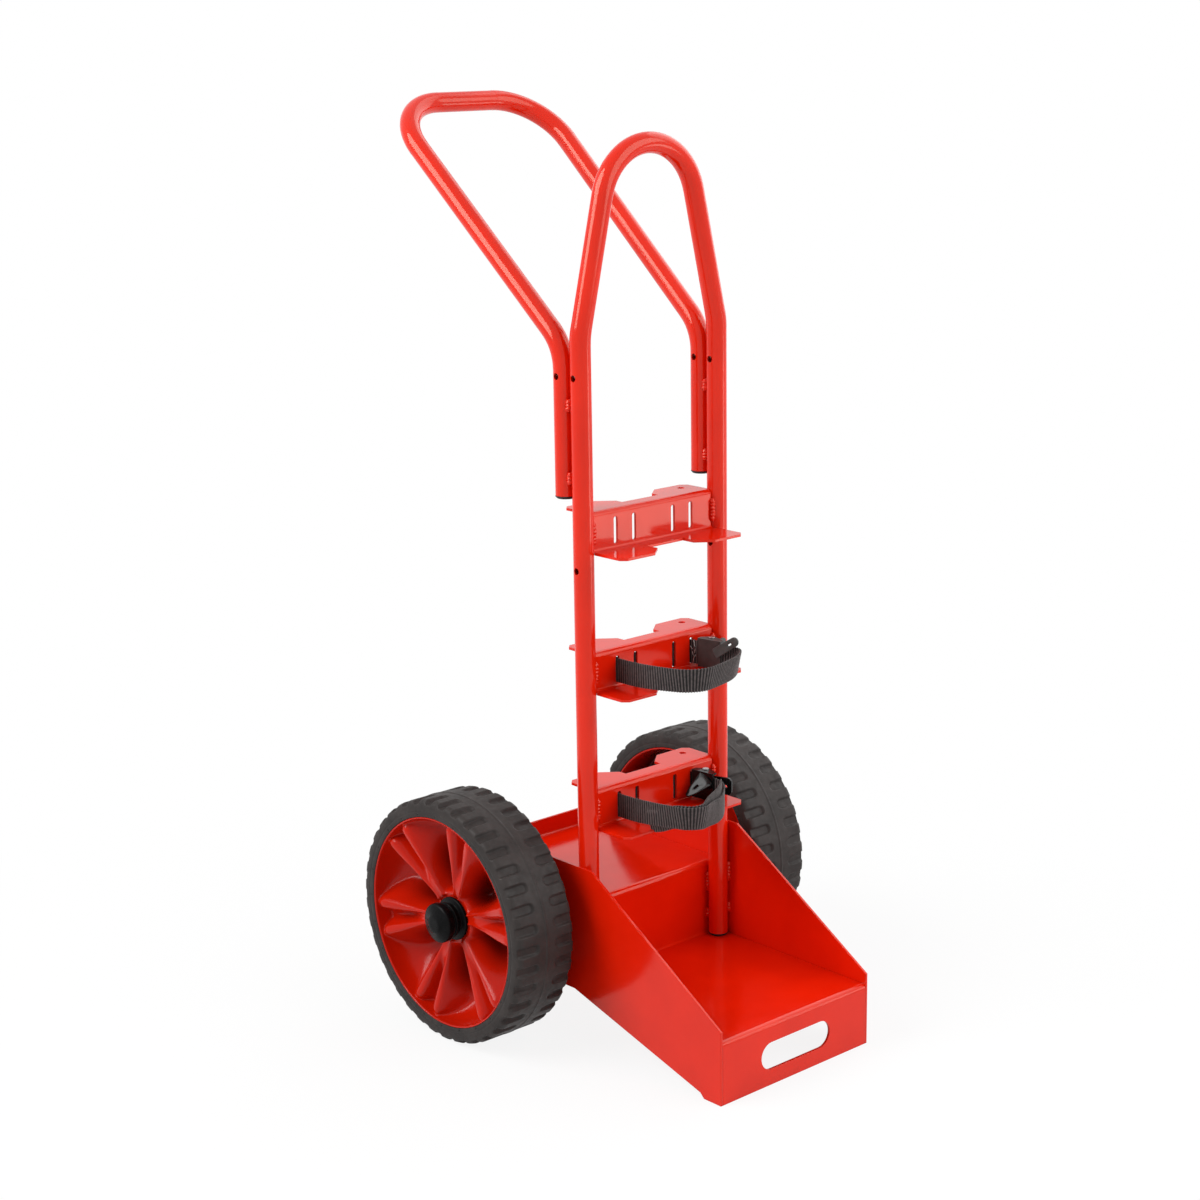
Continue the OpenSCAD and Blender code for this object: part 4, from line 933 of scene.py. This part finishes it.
pale_floor = bpy.data.materials.new("pale floor")
pale_floor.use_nodes = True
tree = pale_floor.node_tree
tree.nodes.remove(tree.nodes["Principled BSDF"])
matt = tree.nodes.new("ShaderNodeBsdfDiffuse")
matt.inputs["Color"].default_value = floor_grey
white = tree.nodes.new("ShaderNodeEmission")
blend = tree.nodes.new("ShaderNodeMixShader")
place = tree.nodes.new("ShaderNodeTexCoord")
from_middle = tree.nodes.new("ShaderNodeVectorMath")
from_middle.operation = "LENGTH"
tree.links.new(place.outputs["Object"], from_middle.inputs[0])
outward = spread(tree, from_middle.outputs["Value"], shadow_share, 1, shadow_r, white_r)
tree.links.new(reckon(tree, "MULTIPLY", seen_directly(tree), outward), blend.inputs["Fac"])
tree.links.new(matt.outputs["BSDF"], blend.inputs[1])
tree.links.new(white.outputs["Emission"], blend.inputs[2])
tree.links.new(blend.outputs["Shader"], tree.nodes["Material Output"].inputs["Surface"])
floor_data.materials.append(pale_floor)

sky = bpy.data.worlds.new("white sky")
bpy.context.scene.world = sky
sky.use_nodes = True
tree = sky.node_tree
background = tree.nodes["Background"]
background.inputs["Color"].default_value = (1, 1, 1, 1)
brightness = spread(tree, seen_directly(tree), sky_fill, sky_seen, 0, 1)
tree.links.new(brightness, background.inputs["Strength"])


def soft_light(name, place, target, size, power):
    """A round soft lamp that faces its target."""
    lamp = bpy.data.lights.new(name, "AREA")
    lamp.shape = "DISK"
    lamp.size = size
    lamp.energy = power
    made = bpy.data.objects.new(name, lamp)
    aim = (Vector(target) - Vector(place)).to_track_quat("-Z", "Y")
    made.matrix_world = Matrix.Translation(place) @ aim.to_matrix().to_4x4()
    bpy.context.scene.collection.objects.link(made)


soft_light("key", (1.1, -2.7, 2.2), (0, 0, 0.5), 3.2, 70)
soft_light("side", (-2.5, 0.9, 2.5), (0, 0, 0.4), 2.4, 102)
soft_light("edge", (2.9, 0.1, 2.2), (0, 0, 0.6), 3.6, 48)
soft_light("low", (1.3, -1.45, 0.34), (0, 0, 0.6), 0.6, 2.8)

camera_place = Vector((-1.8696, -2.0476, 1.2106))
azimuth, elevation, roll = math.radians(-41.82), math.radians(13.78), math.radians(-0.892)
level = math.cos(elevation)
back = Vector((math.sin(azimuth) * level, -math.cos(azimuth) * level, math.sin(elevation)))
right = Matrix.Rotation(roll, 3, back) @ Vector((0, 0, 1)).cross(back).normalized()
lens = bpy.data.cameras.new("camera")
lens.sensor_width = 36
lens.lens = 69.75
camera = bpy.data.objects.new("camera", lens)
facing = Matrix((right, back.cross(right), back)).transposed().to_4x4()
camera.matrix_world = Matrix.Translation(camera_place) @ facing
bpy.context.scene.collection.objects.link(camera)
bpy.context.scene.camera = camera
bpy.context.scene.view_settings.view_transform = "Standard"
